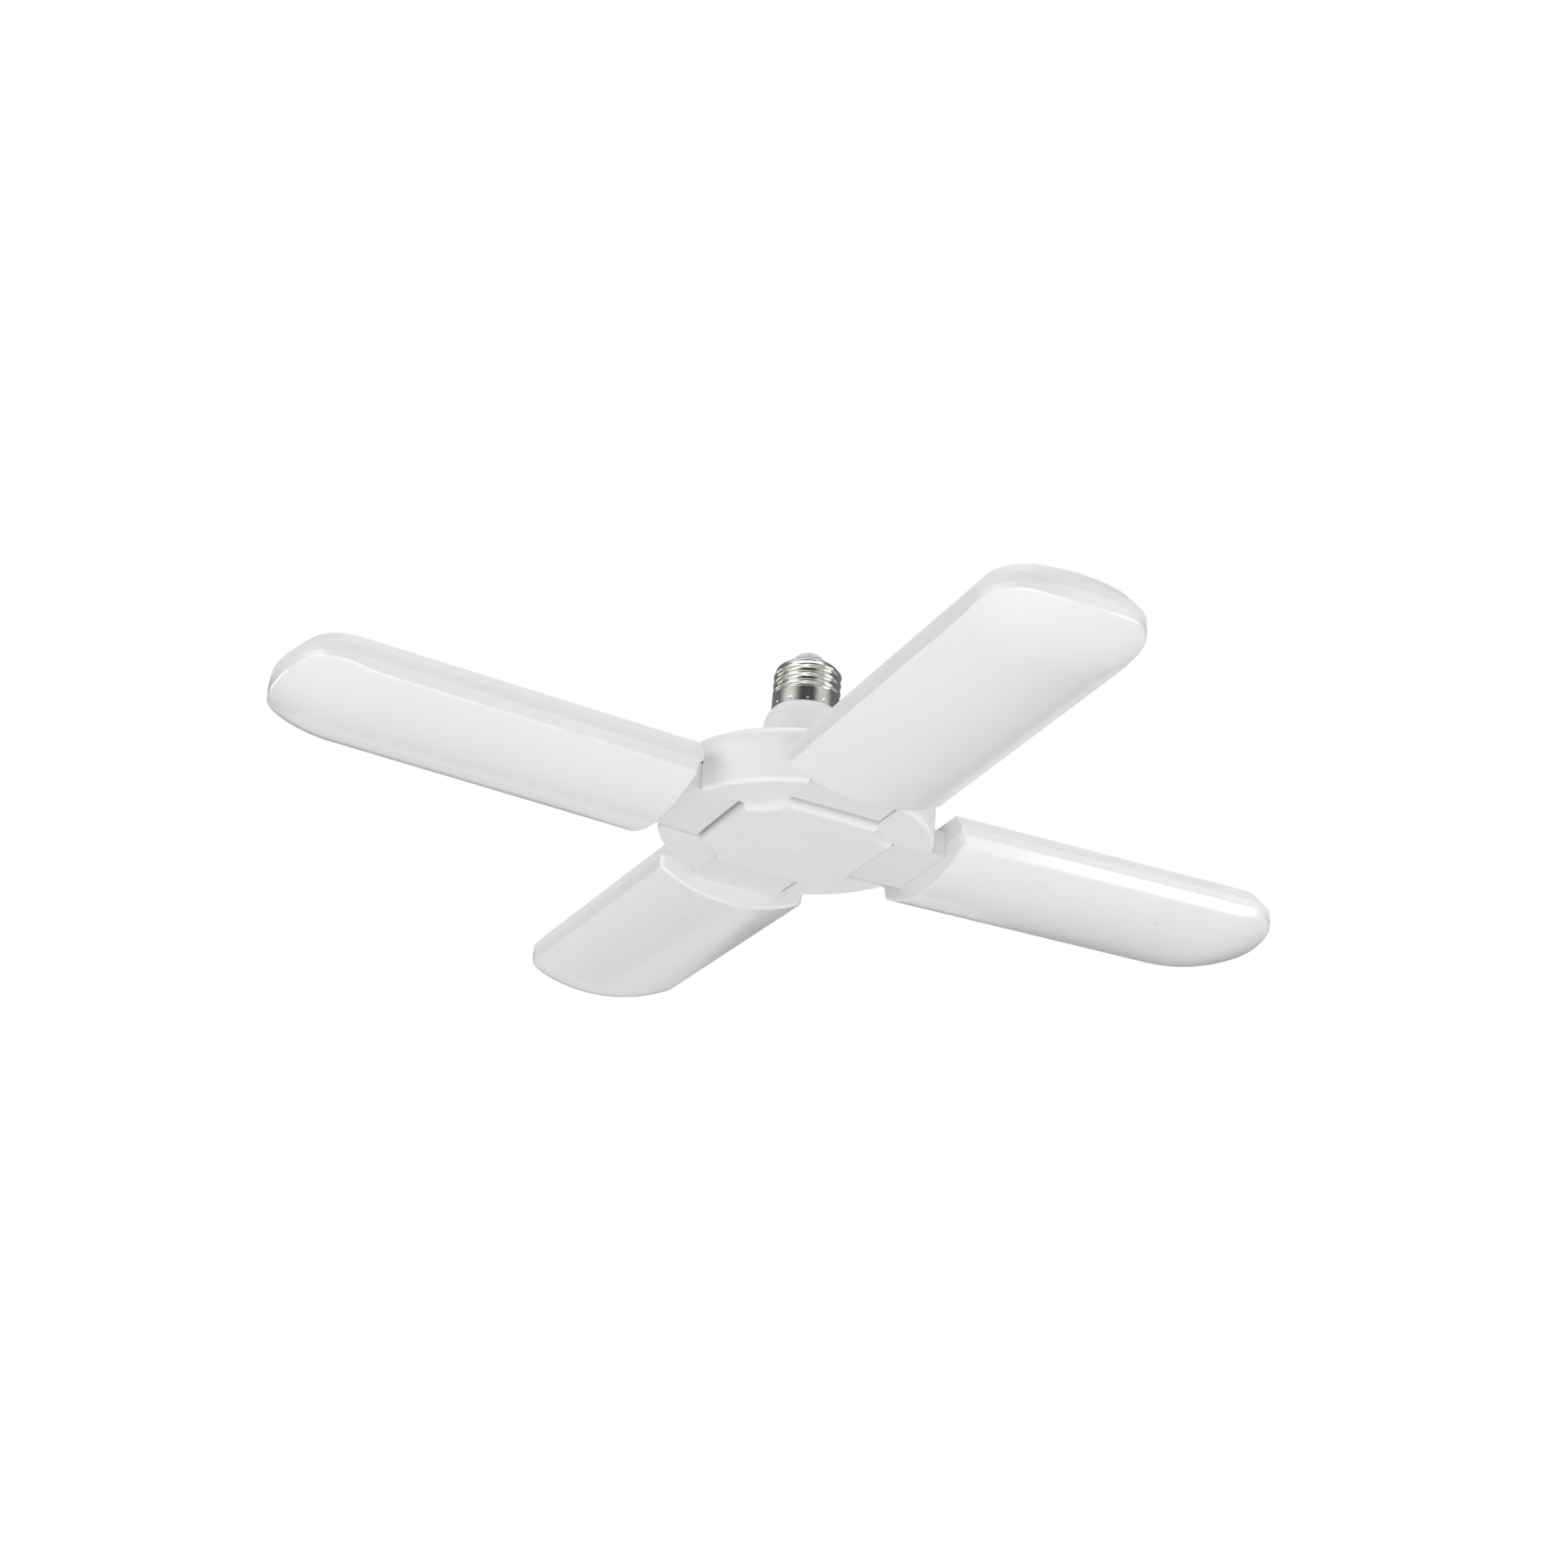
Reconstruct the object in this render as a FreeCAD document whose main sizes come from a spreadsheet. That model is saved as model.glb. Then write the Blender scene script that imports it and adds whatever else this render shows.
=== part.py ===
import FreeCAD, Part
import math
import os
import Sketcher

# A folding garage lamp: a screw cap, a round hub and four hinged light blades.
# Heights are worked in the hub's frame, where z = 0 is the flat underside of the
# hub's four corners. The finished part is lowered so that its origin is the lower
# edge of the screw cap, on the lamp's axis.

doc = FreeCAD.newDocument("FoldingGarageLamp")
sheet = doc.addObject("Spreadsheet::Sheet", "Sizes")


class Size:
    """A dimension that carries its number and the expression that drives it."""

    def __init__(self, value, text):
        self.value = float(value)
        self.text = text

    def join(self, other, sign, value):
        text = other.text if isinstance(other, Size) else repr(float(other))
        return Size(value, "(%s %s %s)" % (self.text, sign, text))

    def __add__(self, other):
        return self.join(other, "+", self.value + number(other))

    def __sub__(self, other):
        return self.join(other, "-", self.value - number(other))

    def __mul__(self, other):
        return self.join(other, "*", self.value * number(other))

    def __truediv__(self, other):
        return self.join(other, "/", self.value / number(other))

    def __neg__(self):
        return Size(-self.value, "(-1 * %s)" % self.text)


def number(item):
    return item.value if isinstance(item, Size) else float(item)


def root(item):
    return Size(math.sqrt(item.value), "sqrt(%s)" % item.text)


def size(alias, value, note):
    """Puts one driving dimension into the sheet and returns it."""
    row = size.rows = size.rows + 1
    sheet.set("A%d" % row, note)
    sheet.set("B%d" % row, str(value))
    sheet.setAlias("B%d" % row, alias)
    return Size(value, "Sizes.%s" % alias)


size.rows = 0
zero = Size(0, "0")
over = size("over", 1, "how far a cut runs past what it cuts")
bury = size("bury", 0.5, "how far an added form reaches into its wall")

# ---------------------------------------------------------------- hub
hubRadius = size("hubRadius", 52.5, "outer radius of the hub drum")
hubTop = size("hubTop", 24.3, "height of the hub's flat top")
hubRound = size("hubRound", 7.0, "rounding of the hub's top edge")
seamHeight = size("seamHeight", 8.0, "height of the seam between the two housings")
seamGroove = size("seamGroove", 0.25, "bevel that makes the seam's fine groove")
cornerRound = size("cornerRound", 2.0, "rounding of the hub's lower edge")
hubWall = size("hubWall", 2.2, "wall of both housings")
slotHalf = size("slotHalf", 18.9, "half width of a hinge slot")
slotEnd = size("slotEnd", 31.3, "radius where a hinge slot starts")
notchTop = size("notchTop", 12.4, "height of the slot in the hub's outer wall")
screwCircle = size("screwCircle", 40.0, "radius of the circle of housing screws")
screwBoss = size("screwBoss", 4.0, "radius of a screw boss")
screwShank = size("screwShank", 1.45, "radius of a housing screw")
screwHead = size("screwHead", 2.8, "radius of a housing screw's head")
screwSink = size("screwSink", 3.2, "depth of a screw recess in the hub's top")
screwGap = size("screwGap", 0.05, "clearance round a screw")
sinkGap = size("sinkGap", 0.3, "clearance round a housing screw's head")
screwBite = size("screwBite", 1.0, "floor left under a housing screw's hole")

# ---------------------------------------------------------------- neck and screw cap
neckFoot = size("neckFoot", 18.2, "radius of the neck at its foot")
neckFillet = size("neckFillet", 3.0, "fillet between neck and hub")
neckRadius = size("neckRadius", 16.0, "radius of the neck below its shoulder")
neckShoulder = size("neckShoulder", 45.5, "height where the neck's shoulder starts")
shoulderArc = size("shoulderArc", 14.0, "radius of the neck's shoulder curve")
neckWall = size("neckWall", 2.0, "wall of the neck")
flangeHeight = size("flangeHeight", 1.0, "height of the flange at the neck's foot")
collarRadius = size("collarRadius", 18.4, "radius of the neck's collar in the hub's top")
collarGap = size("collarGap", 0.05, "clearance round the neck's collar")
collarDrop = size("collarDrop", 0.6, "how far the collar reaches below the hub's top wall")
capSeat = size("capSeat", 53.5, "height of the screw cap's lower edge")
capRadius = size("capRadius", 13.2, "radius over the cap's thread crests")
threadDepth = size("threadDepth", 0.95, "depth of the cap's rounded thread")
threadPitch = size("threadPitch", 3.6, "pitch of the cap's rounded thread")
skirtHeight = size("skirtHeight", 6.1, "height of the cap's plain skirt")
shellWall = size("shellWall", 0.5, "sheet thickness of the screw shell")
shellHeight = size("shellHeight", 23.4, "height of the screw shell")
shellMouth = size("shellMouth", 5.8, "radius of the opening in the shell's top")
shellBend = size("shellBend", 12.0, "radius of the shell's tapered top")
spigotRadius = size("spigotRadius", 11.5, "radius of the spigot inside the shell")
spigotHeight = size("spigotHeight", 9.0, "height of the spigot inside the shell")
spigotWall = size("spigotWall", 2.0, "wall of the spigot")
contactRadius = size("contactRadius", 4.7, "radius of the centre contact")
contactHeight = size("contactHeight", 0.8, "height of the centre contact")
insulatorTop = size("insulatorTop", 24.6, "height of the insulator above the cap's lower edge")
insulatorRound = size("insulatorRound", 1.0, "rounding of the insulator's top edge")
insulatorRim = size("insulatorRim", 0.4, "width of the insulator round the contact")
rivetRadius = size("rivetRadius", 1.5, "radius of the contact's rivet")

# ---------------------------------------------------------------- centre panel
panelDrop = size("panelDrop", 2.6, "how far the centre panel stands below the hub")
panelHalf = size("panelHalf", 31.2, "distance from the axis to a straight side of the panel")
panelSide = size("panelSide", 19.4, "half length of a straight side of the panel")
panelScoop = size("panelScoop", 15.6, "radius of the panel's scooped corners")
panelRound = size("panelRound", 2.4, "rounding of the panel's edge")
pegCircle = size("pegCircle", 24.0, "distance of the panel's pegs from the axis")
pegRadius = size("pegRadius", 2.0, "radius of a panel peg")
pegHeight = size("pegHeight", 5.0, "height of a panel peg")
pegGap = size("pegGap", 0.08, "clearance round a panel peg")
gateRadius = size("gateRadius", 2.2, "radius of the moulding mark in the panel")
gateDepth = size("gateDepth", 0.3, "depth of the moulding mark")

# ---------------------------------------------------------------- hinges
pinCircle = size("pinCircle", 42.0, "distance of a hinge pin from the axis")
pinHeight = size("pinHeight", 5.5, "height of the hinge pins")
pinRadius = size("pinRadius", 1.5, "radius of a hinge pin")
pinHalf = size("pinHalf", 24.0, "half length of a hinge pin")
pinGap = size("pinGap", 0.03, "clearance of a pin in the hub")
hingeGap = size("hingeGap", 0.06, "running clearance of a pin in a blade")
pinBossHalf = size("pinBossHalf", 3.8, "half width of a pin boss in the hub")
pinBossEnd = size("pinBossEnd", 1.6, "material beyond the end of a pin")
washerRadius = size("washerRadius", 3.4, "outer radius of a friction washer")
washerThick = size("washerThick", 0.4, "thickness of a friction washer")
tongueHalf = size("tongueHalf", 18.4, "half width of a blade's tongue")
tongueEnd = size("tongueEnd", 32.8, "radius of a tongue's inner end")
tongueLow = size("tongueLow", 0.8, "height of a tongue's underside")
tongueTop = size("tongueTop", 11.0, "height of a tongue's upper edge")
tongueWall = size("tongueWall", 2.2, "wall of a tongue")
tongueRound = size("tongueRound", 5.6, "rounding of a tongue's inner upper edge")
barrelRadius = size("barrelRadius", 3.7, "radius of the barrel round the pin")
bladeRise = size("bladeRise", 1.5, "degrees that the open blades rise towards their tips")

# ---------------------------------------------------------------- blades
bladeReach = size("bladeReach", 207.6, "distance from the axis to a blade's tip")
bladeHalf = size("bladeHalf", 31.4, "half width of a blade")
tipCorner = size("tipCorner", 20.0, "radius of a blade's tip corners")
tipNose = size("tipNose", 60.0, "radius of the curve across a blade's tip")
coverHeel = size("coverHeel", 54.3, "radius of a back cover's inner end wall")
rimHeight = size("rimHeight", 5.5, "height of a back cover's rim")
rimBand = size("rimBand", 3.35, "height of the rim's upright band")
slopeIn = size("slopeIn", 5.0, "how far the cover's sloping wall leans in")
slopeUp = size("slopeUp", 6.05, "height of the cover's sloping wall")
coverWall = size("coverWall", 2.0, "wall of a back cover")
coverRound = size("coverRound", 1.0, "rounding of the cover's top edge")
lipWall = size("lipWall", 1.3, "wall of the cover outside the diffuser's lip")
heelWall = size("heelWall", 1.5, "wall of the cover's rim at its inner end")
ribPitch = size("ribPitch", 5.0, "spacing of the cooling ribs")
ribWidth = size("ribWidth", 1.3, "width of a cooling rib")
ribHeight = size("ribHeight", 0.6, "height of a cooling rib")
ribSetback = size("ribSetback", 1.4, "distance of the ribs' ends from the top's edge")
ribStart = size("ribStart", 58.0, "radius where the cooling ribs start")
ribPairs = 4
diffuserHeel = size("diffuserHeel", 54.7, "radius of a diffuser's inner end")
diffuserDraft = size("diffuserDraft", 1.2, "draft of the diffuser's walls over its depth")
diffuserDepth = size("diffuserDepth", 14.5, "depth over which that draft is measured")
diffuserWall = size("diffuserWall", 2.2, "wall of a diffuser")
diffuserRound = size("diffuserRound", 1.3, "rounding of the diffuser's lower edge")
heelCorner = size("heelCorner", 2.0, "radius of the diffuser's corners at its inner end")
wellCorner = size("wellCorner", 0.8, "radius of the same corners inside the diffuser")
crownDepth = size("crownDepth", 7.2, "depth of the diffuser's arch below the hub's underside")
crownRadius = size("crownRadius", 65.0, "radius of the diffuser's arch")
lipGap = size("lipGap", 0.1, "clearance of the diffuser's lip in the cover")
lipHeight = size("lipHeight", 1.1, "height of the diffuser's lip")
boardThick = size("boardThick", 1.0, "thickness of an LED board")
boardInset = size("boardInset", 2.6, "distance of an LED board from the blade's edge")
boardHeel = size("boardHeel", 57.4, "radius of an LED board's inner end")
boardGap = size("boardGap", 0.02, "gap between an LED board and its ledge")
bossRadius = size("bossRadius", 3.0, "radius of an LED board boss")
bossFirst = size("bossFirst", 68.0, "radius of the first pair of LED board screws")
bossSpan = size("bossSpan", 114.0, "distance between the two pairs of LED board screws")
bossHalf = size("bossHalf", 17.5, "half distance across a pair of LED board screws")
tapRadius = size("tapRadius", 1.2, "radius of an LED board screw")
tapHead = size("tapHead", 2.3, "radius of an LED board screw's head")
tapHeadThick = size("tapHeadThick", 1.2, "height of an LED board screw's head")
tapLength = size("tapLength", 5.0, "length of an LED board screw")
chipLength = size("chipLength", 3.5, "length of an LED chip")
chipWidth = size("chipWidth", 2.8, "width of an LED chip")
chipThick = size("chipThick", 0.7, "thickness of an LED chip")
chipFirst = size("chipFirst", 76.0, "radius of the first row of LED chips")
chipSpan = size("chipSpan", 99.0, "distance from the first to the last row of LED chips")
chipRows = 12
chipSpread = size("chipSpread", 22.0, "distance across the columns of LED chips")
chipColumns = 3
leadHole = size("leadHole", 2.2, "radius of the hole for a blade's leads")
bladeCount = 4

# ---------------------------------------------------------------- driver
driverRadius = size("driverRadius", 34.0, "radius of the driver board")
driverThick = size("driverThick", 1.6, "thickness of the driver board")
driverTop = size("driverTop", 18.4, "height of the driver board's upper face")
postCircle = size("postCircle", 28.0, "radius of the circle of driver board posts")
postRadius = size("postRadius", 3.0, "radius of a driver board post")
postDepth = size("postDepth", 3.0, "depth of the hole in a driver board post")
postCount = 3
capacitorRadius = size("capacitorRadius", 5.0, "radius of a filter capacitor")
capacitorHeight = size("capacitorHeight", 20.0, "height of a filter capacitor")
capacitorSpacing = size("capacitorSpacing", 5.8, "distance of each capacitor from the axis")
chokeRadius = size("chokeRadius", 7.0, "radius of the choke's flanges")
chokeHeight = size("chokeHeight", 9.0, "height of the choke")
chokeFlange = size("chokeFlange", 1.4, "thickness of a choke flange")
chokeWinding = size("chokeWinding", 5.8, "radius of the choke's winding")
solderGap = size("solderGap", 0.05, "gap under a soldered component")
rectifierX = size("rectifierX", 14, "place of the rectifier along X")
rectifierY = size("rectifierY", -2.5, "place of the rectifier along Y")
rectifierLong = size("rectifierLong", 6.5, "length of the rectifier")
rectifierWide = size("rectifierWide", 5, "width of the rectifier")
rectifierTall = size("rectifierTall", 2.5, "height of the rectifier")
chipX = size("chipX", -22, "place of the driver chip along X")
chipY = size("chipY", -3, "place of the driver chip along Y")
chipLong = size("chipLong", 5, "length of the driver chip")
chipWide = size("chipWide", 6, "width of the driver chip")
chipTall = size("chipTall", 1.6, "height of the driver chip")
filmX = size("filmX", -24, "place of the film capacitor along X")
filmY = size("filmY", -6.5, "place of the film capacitor along Y")
filmLong = size("filmLong", 6, "length of the film capacitor")
filmWide = size("filmWide", 13, "width of the film capacitor")
filmTall = size("filmTall", 9, "height of the film capacitor")
surgeX = size("surgeX", 14, "place of the surge absorber along X")
surgeY = size("surgeY", -4.5, "place of the surge absorber along Y")
surgeLong = size("surgeLong", 4, "length of the surge absorber")
surgeWide = size("surgeWide", 9, "width of the surge absorber")
surgeTall = size("surgeTall", 9, "height of the surge absorber")


# ---------------------------------------------------------------- tools for bodies
def newBody(label):
    body = doc.addObject("PartDesign::Body", label)
    body.Label = label
    return body


def plane(body, role):
    return next(item for item in body.Origin.OriginFeatures if item.Role == role)


def newSketch(body, name, role, offset=zero):
    """An empty sketch on one of the body's own planes, moved along its normal."""
    sketch = body.newObject("Sketcher::SketchObject", name)
    sketch.AttachmentSupport = [(plane(body, role), "")]
    sketch.MapMode = "FlatFace"
    if offset is not zero:
        shift = FreeCAD.Vector(0, 0, offset.value)
        sketch.AttachmentOffset = FreeCAD.Placement(shift, FreeCAD.Rotation())
        sketch.setExpression(".AttachmentOffset.Base.z", offset.text)
    return sketch


def fixPoint(sketch, edge, end, corner):
    """Holds one point of an edge at a pair of sizes."""
    axes = (("DistanceX", corner[0], -2), ("DistanceY", corner[1], -1))
    for kind, item, axis in axes:
        if abs(item.value) < 1e-9:
            sketch.addConstraint(Sketcher.Constraint("PointOnObject", edge, end, axis))
        else:
            row = sketch.addConstraint(Sketcher.Constraint(kind, -1, 1, edge, end, item.value))
            sketch.setExpression("Constraints[%d]" % row, item.text)


def drawLoop(sketch, corners, bends=None):
    """A closed outline. bends gives an edge a radius: above 0 it turns left, below 0 right."""
    bends = bends or {}
    count = len(corners)
    ends = []
    for row in range(count):
        here = FreeCAD.Vector(corners[row][0].value, corners[row][1].value, 0)
        there = FreeCAD.Vector(*[item.value for item in corners[(row + 1) % count]], 0)
        if row not in bends:
            edge = sketch.addGeometry(Part.LineSegment(here, there), False)
            ends.append((edge, 1, 2))
            continue
        radius, side = bends[row]
        if side < 0:
            here, there = there, here
        chord = there - here
        height = math.sqrt(max(radius.value ** 2 - (chord.Length / 2) ** 2, 0))
        across = FreeCAD.Vector(-chord.y, chord.x, 0).normalize()
        centre = (here + there) * 0.5 + across * height
        start = math.atan2(here.y - centre.y, here.x - centre.x)
        stop = math.atan2(there.y - centre.y, there.x - centre.x)
        circle = Part.Circle(centre, FreeCAD.Vector(0, 0, 1), radius.value)
        edge = sketch.addGeometry(Part.ArcOfCircle(circle, start, stop), False)
        ends.append((edge, 1, 2) if side > 0 else (edge, 2, 1))
        row = sketch.addConstraint(Sketcher.Constraint("Radius", edge, radius.value))
        sketch.setExpression("Constraints[%d]" % row, radius.text)
    for row in range(count):
        last = ends[row - 1]
        edge, start, stop = ends[row]
        sketch.addConstraint(Sketcher.Constraint("Coincident", last[0], last[2], edge, start))
        fixPoint(sketch, edge, start, corners[row])


def drawBox(sketch, left, right, low, high):
    drawLoop(sketch, [(left, low), (right, low), (right, high), (left, high)])


def drawCircle(sketch, across, up, radius):
    spot = FreeCAD.Vector(across.value, up.value, 0)
    edge = sketch.addGeometry(Part.Circle(spot, FreeCAD.Vector(0, 0, 1), radius.value), False)
    fixPoint(sketch, edge, 3, (across, up))
    row = sketch.addConstraint(Sketcher.Constraint("Radius", edge, radius.value))
    sketch.setExpression("Constraints[%d]" % row, radius.text)


def extrude(body, kind, sketch, length, backwards=False, both=False):
    """A pad or a pocket. A pocket cuts against the sketch's normal unless backwards."""
    feature = body.newObject("PartDesign::" + kind, sketch.Name + kind)
    feature.Profile = sketch
    feature.Length = length.value
    feature.setExpression("Length", length.text)
    if both:
        feature.SideType = "Symmetric"
    feature.Reversed = backwards
    sketch.Visibility = False
    return feature


def pad(body, sketch, length, backwards=False, both=False):
    return extrude(body, "Pad", sketch, length, backwards, both)


def pocket(body, sketch, length, backwards=False, both=False):
    return extrude(body, "Pocket", sketch, length, backwards, both)


def turn(body, sketch, kind="Revolution"):
    """Revolves a profile drawn in the XZ plane about the body's own Z axis."""
    feature = body.newObject("PartDesign::" + kind, sketch.Name + kind)
    feature.Profile = sketch
    feature.ReferenceAxis = (sketch, ["V_Axis"])
    feature.Angle = 360
    return feature


def polar(body, features, count):
    """Repeats features round the body's Z axis."""
    pattern = body.newObject("PartDesign::PolarPattern", features[0].Name + "Ring")
    pattern.Originals = features
    pattern.Axis = (plane(body, "Z_Axis"), [""])
    pattern.Angle = 360
    pattern.Occurrences = count
    body.Tip = pattern
    return pattern


def loft(body, first, second):
    feature = body.newObject("PartDesign::AdditiveLoft", first.Name + "Loft")
    feature.Profile = first
    feature.Sections = [second]
    feature.Ruled = True
    return feature


def edgesWhere(feature, test):
    """Names the edges of a feature's shape whose centre and length pass a test."""
    doc.recompute()
    names = []
    for row, edge in enumerate(feature.Shape.Edges, 1):
        if test(edge, edge.BoundBox):
            names.append("Edge%d" % row)
    return names


def soften(body, feature, radius, test, kind="Fillet"):
    """Rounds the edges of a feature that pass a test."""
    names = edgesWhere(feature, test)
    finish = body.newObject("PartDesign::" + kind, feature.Name + kind)
    finish.Base = (feature, names)
    item = "Radius" if kind == "Fillet" else "Size"
    setattr(finish, item, radius.value)
    finish.setExpression(item, radius.text)
    body.Tip = finish
    return finish


def close(a, b):
    return abs(a - b) < 0.02


# ---------------------------------------------------------------- placing
down = -capSeat


def place(item):
    """Lowers a hub piece so that the cap's lower edge is the origin."""
    item.Placement = FreeCAD.Placement(FreeCAD.Vector(0, 0, down.value), FreeCAD.Rotation())
    item.setExpression(".Placement.Base.z", down.text)


def bladePlacement(step):
    """The place of one blade: raised about its hinge pin, then turned round the hub."""
    pin = FreeCAD.Vector(pinCircle.value, 0, pinHeight.value)
    tilt = FreeCAD.Rotation(FreeCAD.Vector(0, 1, 0), -bladeRise.value)
    raised = FreeCAD.Placement(FreeCAD.Vector(), tilt, pin)
    return slotPlacement(step).multiply(raised)


def slotPlacement(step):
    """The place of what lies in one hinge slot of the hub."""
    spin = FreeCAD.Rotation(FreeCAD.Vector(0, 0, 1), 360.0 / bladeCount * step)
    return FreeCAD.Placement(FreeCAD.Vector(0, 0, down.value), spin)


# ---------------------------------------------------------------- hub pieces
def makeNeck():
    """The cone that carries the screw cap: its collar passes through the hub's top."""
    body = newBody("neck")
    profile = newSketch(body, "neckProfile", "XZ_Plane")
    boreRadius = spigotRadius - spigotWall
    collarInner = collarRadius - neckWall
    collarFoot = hubTop - hubWall - collarDrop
    drawLoop(profile, [
        (collarRadius, collarFoot),
        (collarRadius, hubTop),
        (neckFoot + neckFillet, hubTop),
        (neckFoot + neckFillet, hubTop + flangeHeight),
        (neckFoot, hubTop + flangeHeight + neckFillet),
        (neckRadius, neckShoulder),
        (capRadius, capSeat),
        (spigotRadius, capSeat),
        (spigotRadius, capSeat + spigotHeight),
        (boreRadius, capSeat + spigotHeight),
        (boreRadius, capSeat - neckWall),
        (neckRadius - neckWall, neckShoulder),
        (collarInner, hubTop),
        (collarInner, collarFoot),
    ], {3: (neckFillet, -1), 5: (shoulderArc, 1)})
    turn(body, profile)
    place(body)
    return body


def makeUpperHousing():
    body = newBody("upper_housing")
    profile = newSketch(body, "upperProfile", "XZ_Plane")
    inner = hubRadius - hubWall
    ceiling = hubTop - hubWall
    innerRound = hubRound - hubWall
    seat = collarRadius + collarGap
    corners = [
        (hubRadius - seamGroove, seamHeight),
        (hubRadius, seamHeight + seamGroove),
        (hubRadius, hubTop - hubRound),
        (hubRadius - hubRound, hubTop),
        (seat, hubTop),
        (seat, ceiling),
        (inner - innerRound, ceiling),
        (inner, ceiling - innerRound),
        (inner, seamHeight),
    ]
    drawLoop(profile, corners, {2: (hubRound, 1), 6: (innerRound, -1)})
    turn(body, profile)
    notch = newSketch(body, "upperNotch", "XY_Plane", seamHeight - over)
    drawBox(notch, slotEnd, hubRadius + over, -slotHalf, slotHalf)
    notches = pocket(body, notch, notchTop - seamHeight + over, backwards=True)
    polar(body, [notches], bladeCount)
    bosses = newSketch(body, "upperBosses", "XY_Plane", seamHeight)
    diagonal = screwCircle * math.sqrt(0.5)
    drawCircle(bosses, diagonal, diagonal, screwBoss)
    boss = pad(body, bosses, ceiling - seamHeight + bury)
    polar(body, [boss], bladeCount)
    posts = newSketch(body, "upperPosts", "XY_Plane", driverTop)
    drawCircle(posts, postCircle, zero, postRadius)
    post = pad(body, posts, ceiling - driverTop + bury)
    polar(body, [post], postCount)
    holes = newSketch(body, "upperHoles", "XY_Plane", seamHeight - over)
    drawCircle(holes, diagonal, diagonal, screwShank + screwGap)
    hole = pocket(body, holes, hubTop, backwards=True)
    polar(body, [hole], bladeCount)
    sinks = newSketch(body, "upperSinks", "XY_Plane", hubTop - screwSink)
    drawCircle(sinks, diagonal, diagonal, screwHead + sinkGap)
    sink = pocket(body, sinks, screwSink + over, backwards=True)
    polar(body, [sink], bladeCount)
    taps = newSketch(body, "upperTaps", "XY_Plane", driverTop - over)
    drawCircle(taps, postCircle, zero, tapRadius + screwGap)
    tap = pocket(body, taps, postDepth + over, backwards=True)
    polar(body, [tap], postCount)
    place(body)
    return body


def makeLowerHousing():
    body = newBody("lower_housing")
    disc = newSketch(body, "lowerDisc", "XY_Plane")
    drawCircle(disc, zero, zero, hubRadius)
    drum = pad(body, disc, seamHeight)
    soften(body, drum, cornerRound, lambda edge, box: close(box.ZMax, 0))
    well = newSketch(body, "lowerWell", "XY_Plane", seamHeight)
    drawCircle(well, zero, zero, hubRadius - hubWall)
    pocket(body, well, seamHeight - hubWall)
    frame = newSketch(body, "lowerFrame", "XY_Plane", hubWall)
    reach = slotHalf + hubWall
    drawBox(frame, slotEnd - hubWall, hubRadius - hubWall * 2, -reach, reach)
    frames = pad(body, frame, seamHeight - hubWall)
    polar(body, [frames], bladeCount)
    saddle = newSketch(body, "lowerSaddle", "XY_Plane", hubWall)
    near, far = pinCircle - pinBossHalf, pinCircle + pinBossHalf
    drawBox(saddle, near, far, slotHalf + bury, pinHalf + pinBossEnd)
    drawBox(saddle, near, far, -(pinHalf + pinBossEnd), -(slotHalf + bury))
    saddles = pad(body, saddle, seamHeight - hubWall)
    polar(body, [saddles], bladeCount)
    slot = newSketch(body, "lowerSlot", "XY_Plane", seamHeight + over)
    drawBox(slot, slotEnd, hubRadius + over, -slotHalf, slotHalf)
    slots = pocket(body, slot, seamHeight + over * 2)
    polar(body, [slots], bladeCount)
    bore = newSketch(body, "lowerBore", "XZ_Plane")
    drawCircle(bore, pinCircle, pinHeight, pinRadius + pinGap)
    bores = pocket(body, bore, (pinHalf + pinGap) * 2, both=True)
    polar(body, [bores], bladeCount)
    diagonal = screwCircle * math.sqrt(0.5)
    bosses = newSketch(body, "lowerBosses", "XY_Plane", hubWall / 2)
    drawCircle(bosses, diagonal, diagonal, screwBoss)
    boss = pad(body, bosses, seamHeight - hubWall / 2)
    polar(body, [boss], bladeCount)
    holes = newSketch(body, "lowerHoles", "XY_Plane", seamHeight + over)
    drawCircle(holes, diagonal, diagonal, screwShank + screwGap)
    hole = pocket(body, holes, seamHeight - hubWall - screwBite + over)
    polar(body, [hole], bladeCount)
    pegs = newSketch(body, "lowerPegs", "XY_Plane", seamHeight)
    drawCircle(pegs, pegCircle, zero, pegRadius + pegGap)
    peg = pocket(body, pegs, seamHeight + over)
    polar(body, [peg], bladeCount)
    place(body)
    return body


def makeCentrePanel():
    body = newBody("centre_panel")
    sketch = newSketch(body, "panelOutline", "XY_Plane")
    corners = [
        (panelHalf, -panelSide),
        (panelHalf, panelSide),
        (panelSide, panelHalf),
        (-panelSide, panelHalf),
        (-panelHalf, panelSide),
        (-panelHalf, -panelSide),
        (-panelSide, -panelHalf),
        (panelSide, -panelHalf),
    ]
    bends = {1: (panelScoop, -1), 3: (panelScoop, -1), 5: (panelScoop, -1), 7: (panelScoop, -1)}
    drawLoop(sketch, corners, bends)
    plate = pad(body, sketch, panelDrop, backwards=True)
    soften(body, plate, panelRound,
           lambda edge, box: close(box.ZMax, -panelDrop.value) and close(box.ZLength, 0))
    peg = newSketch(body, "panelPeg", "XY_Plane", -panelDrop / 2)
    drawCircle(peg, pegCircle, zero, pegRadius)
    pegs = pad(body, peg, pegHeight + panelDrop / 2)
    polar(body, [pegs], bladeCount)
    ring = newSketch(body, "panelGate", "XY_Plane", -panelDrop)
    drawCircle(ring, zero, zero, gateRadius)
    drawCircle(ring, zero, zero, gateRadius / 3)
    pocket(body, ring, gateDepth, backwards=True)
    place(body)
    return body


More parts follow.
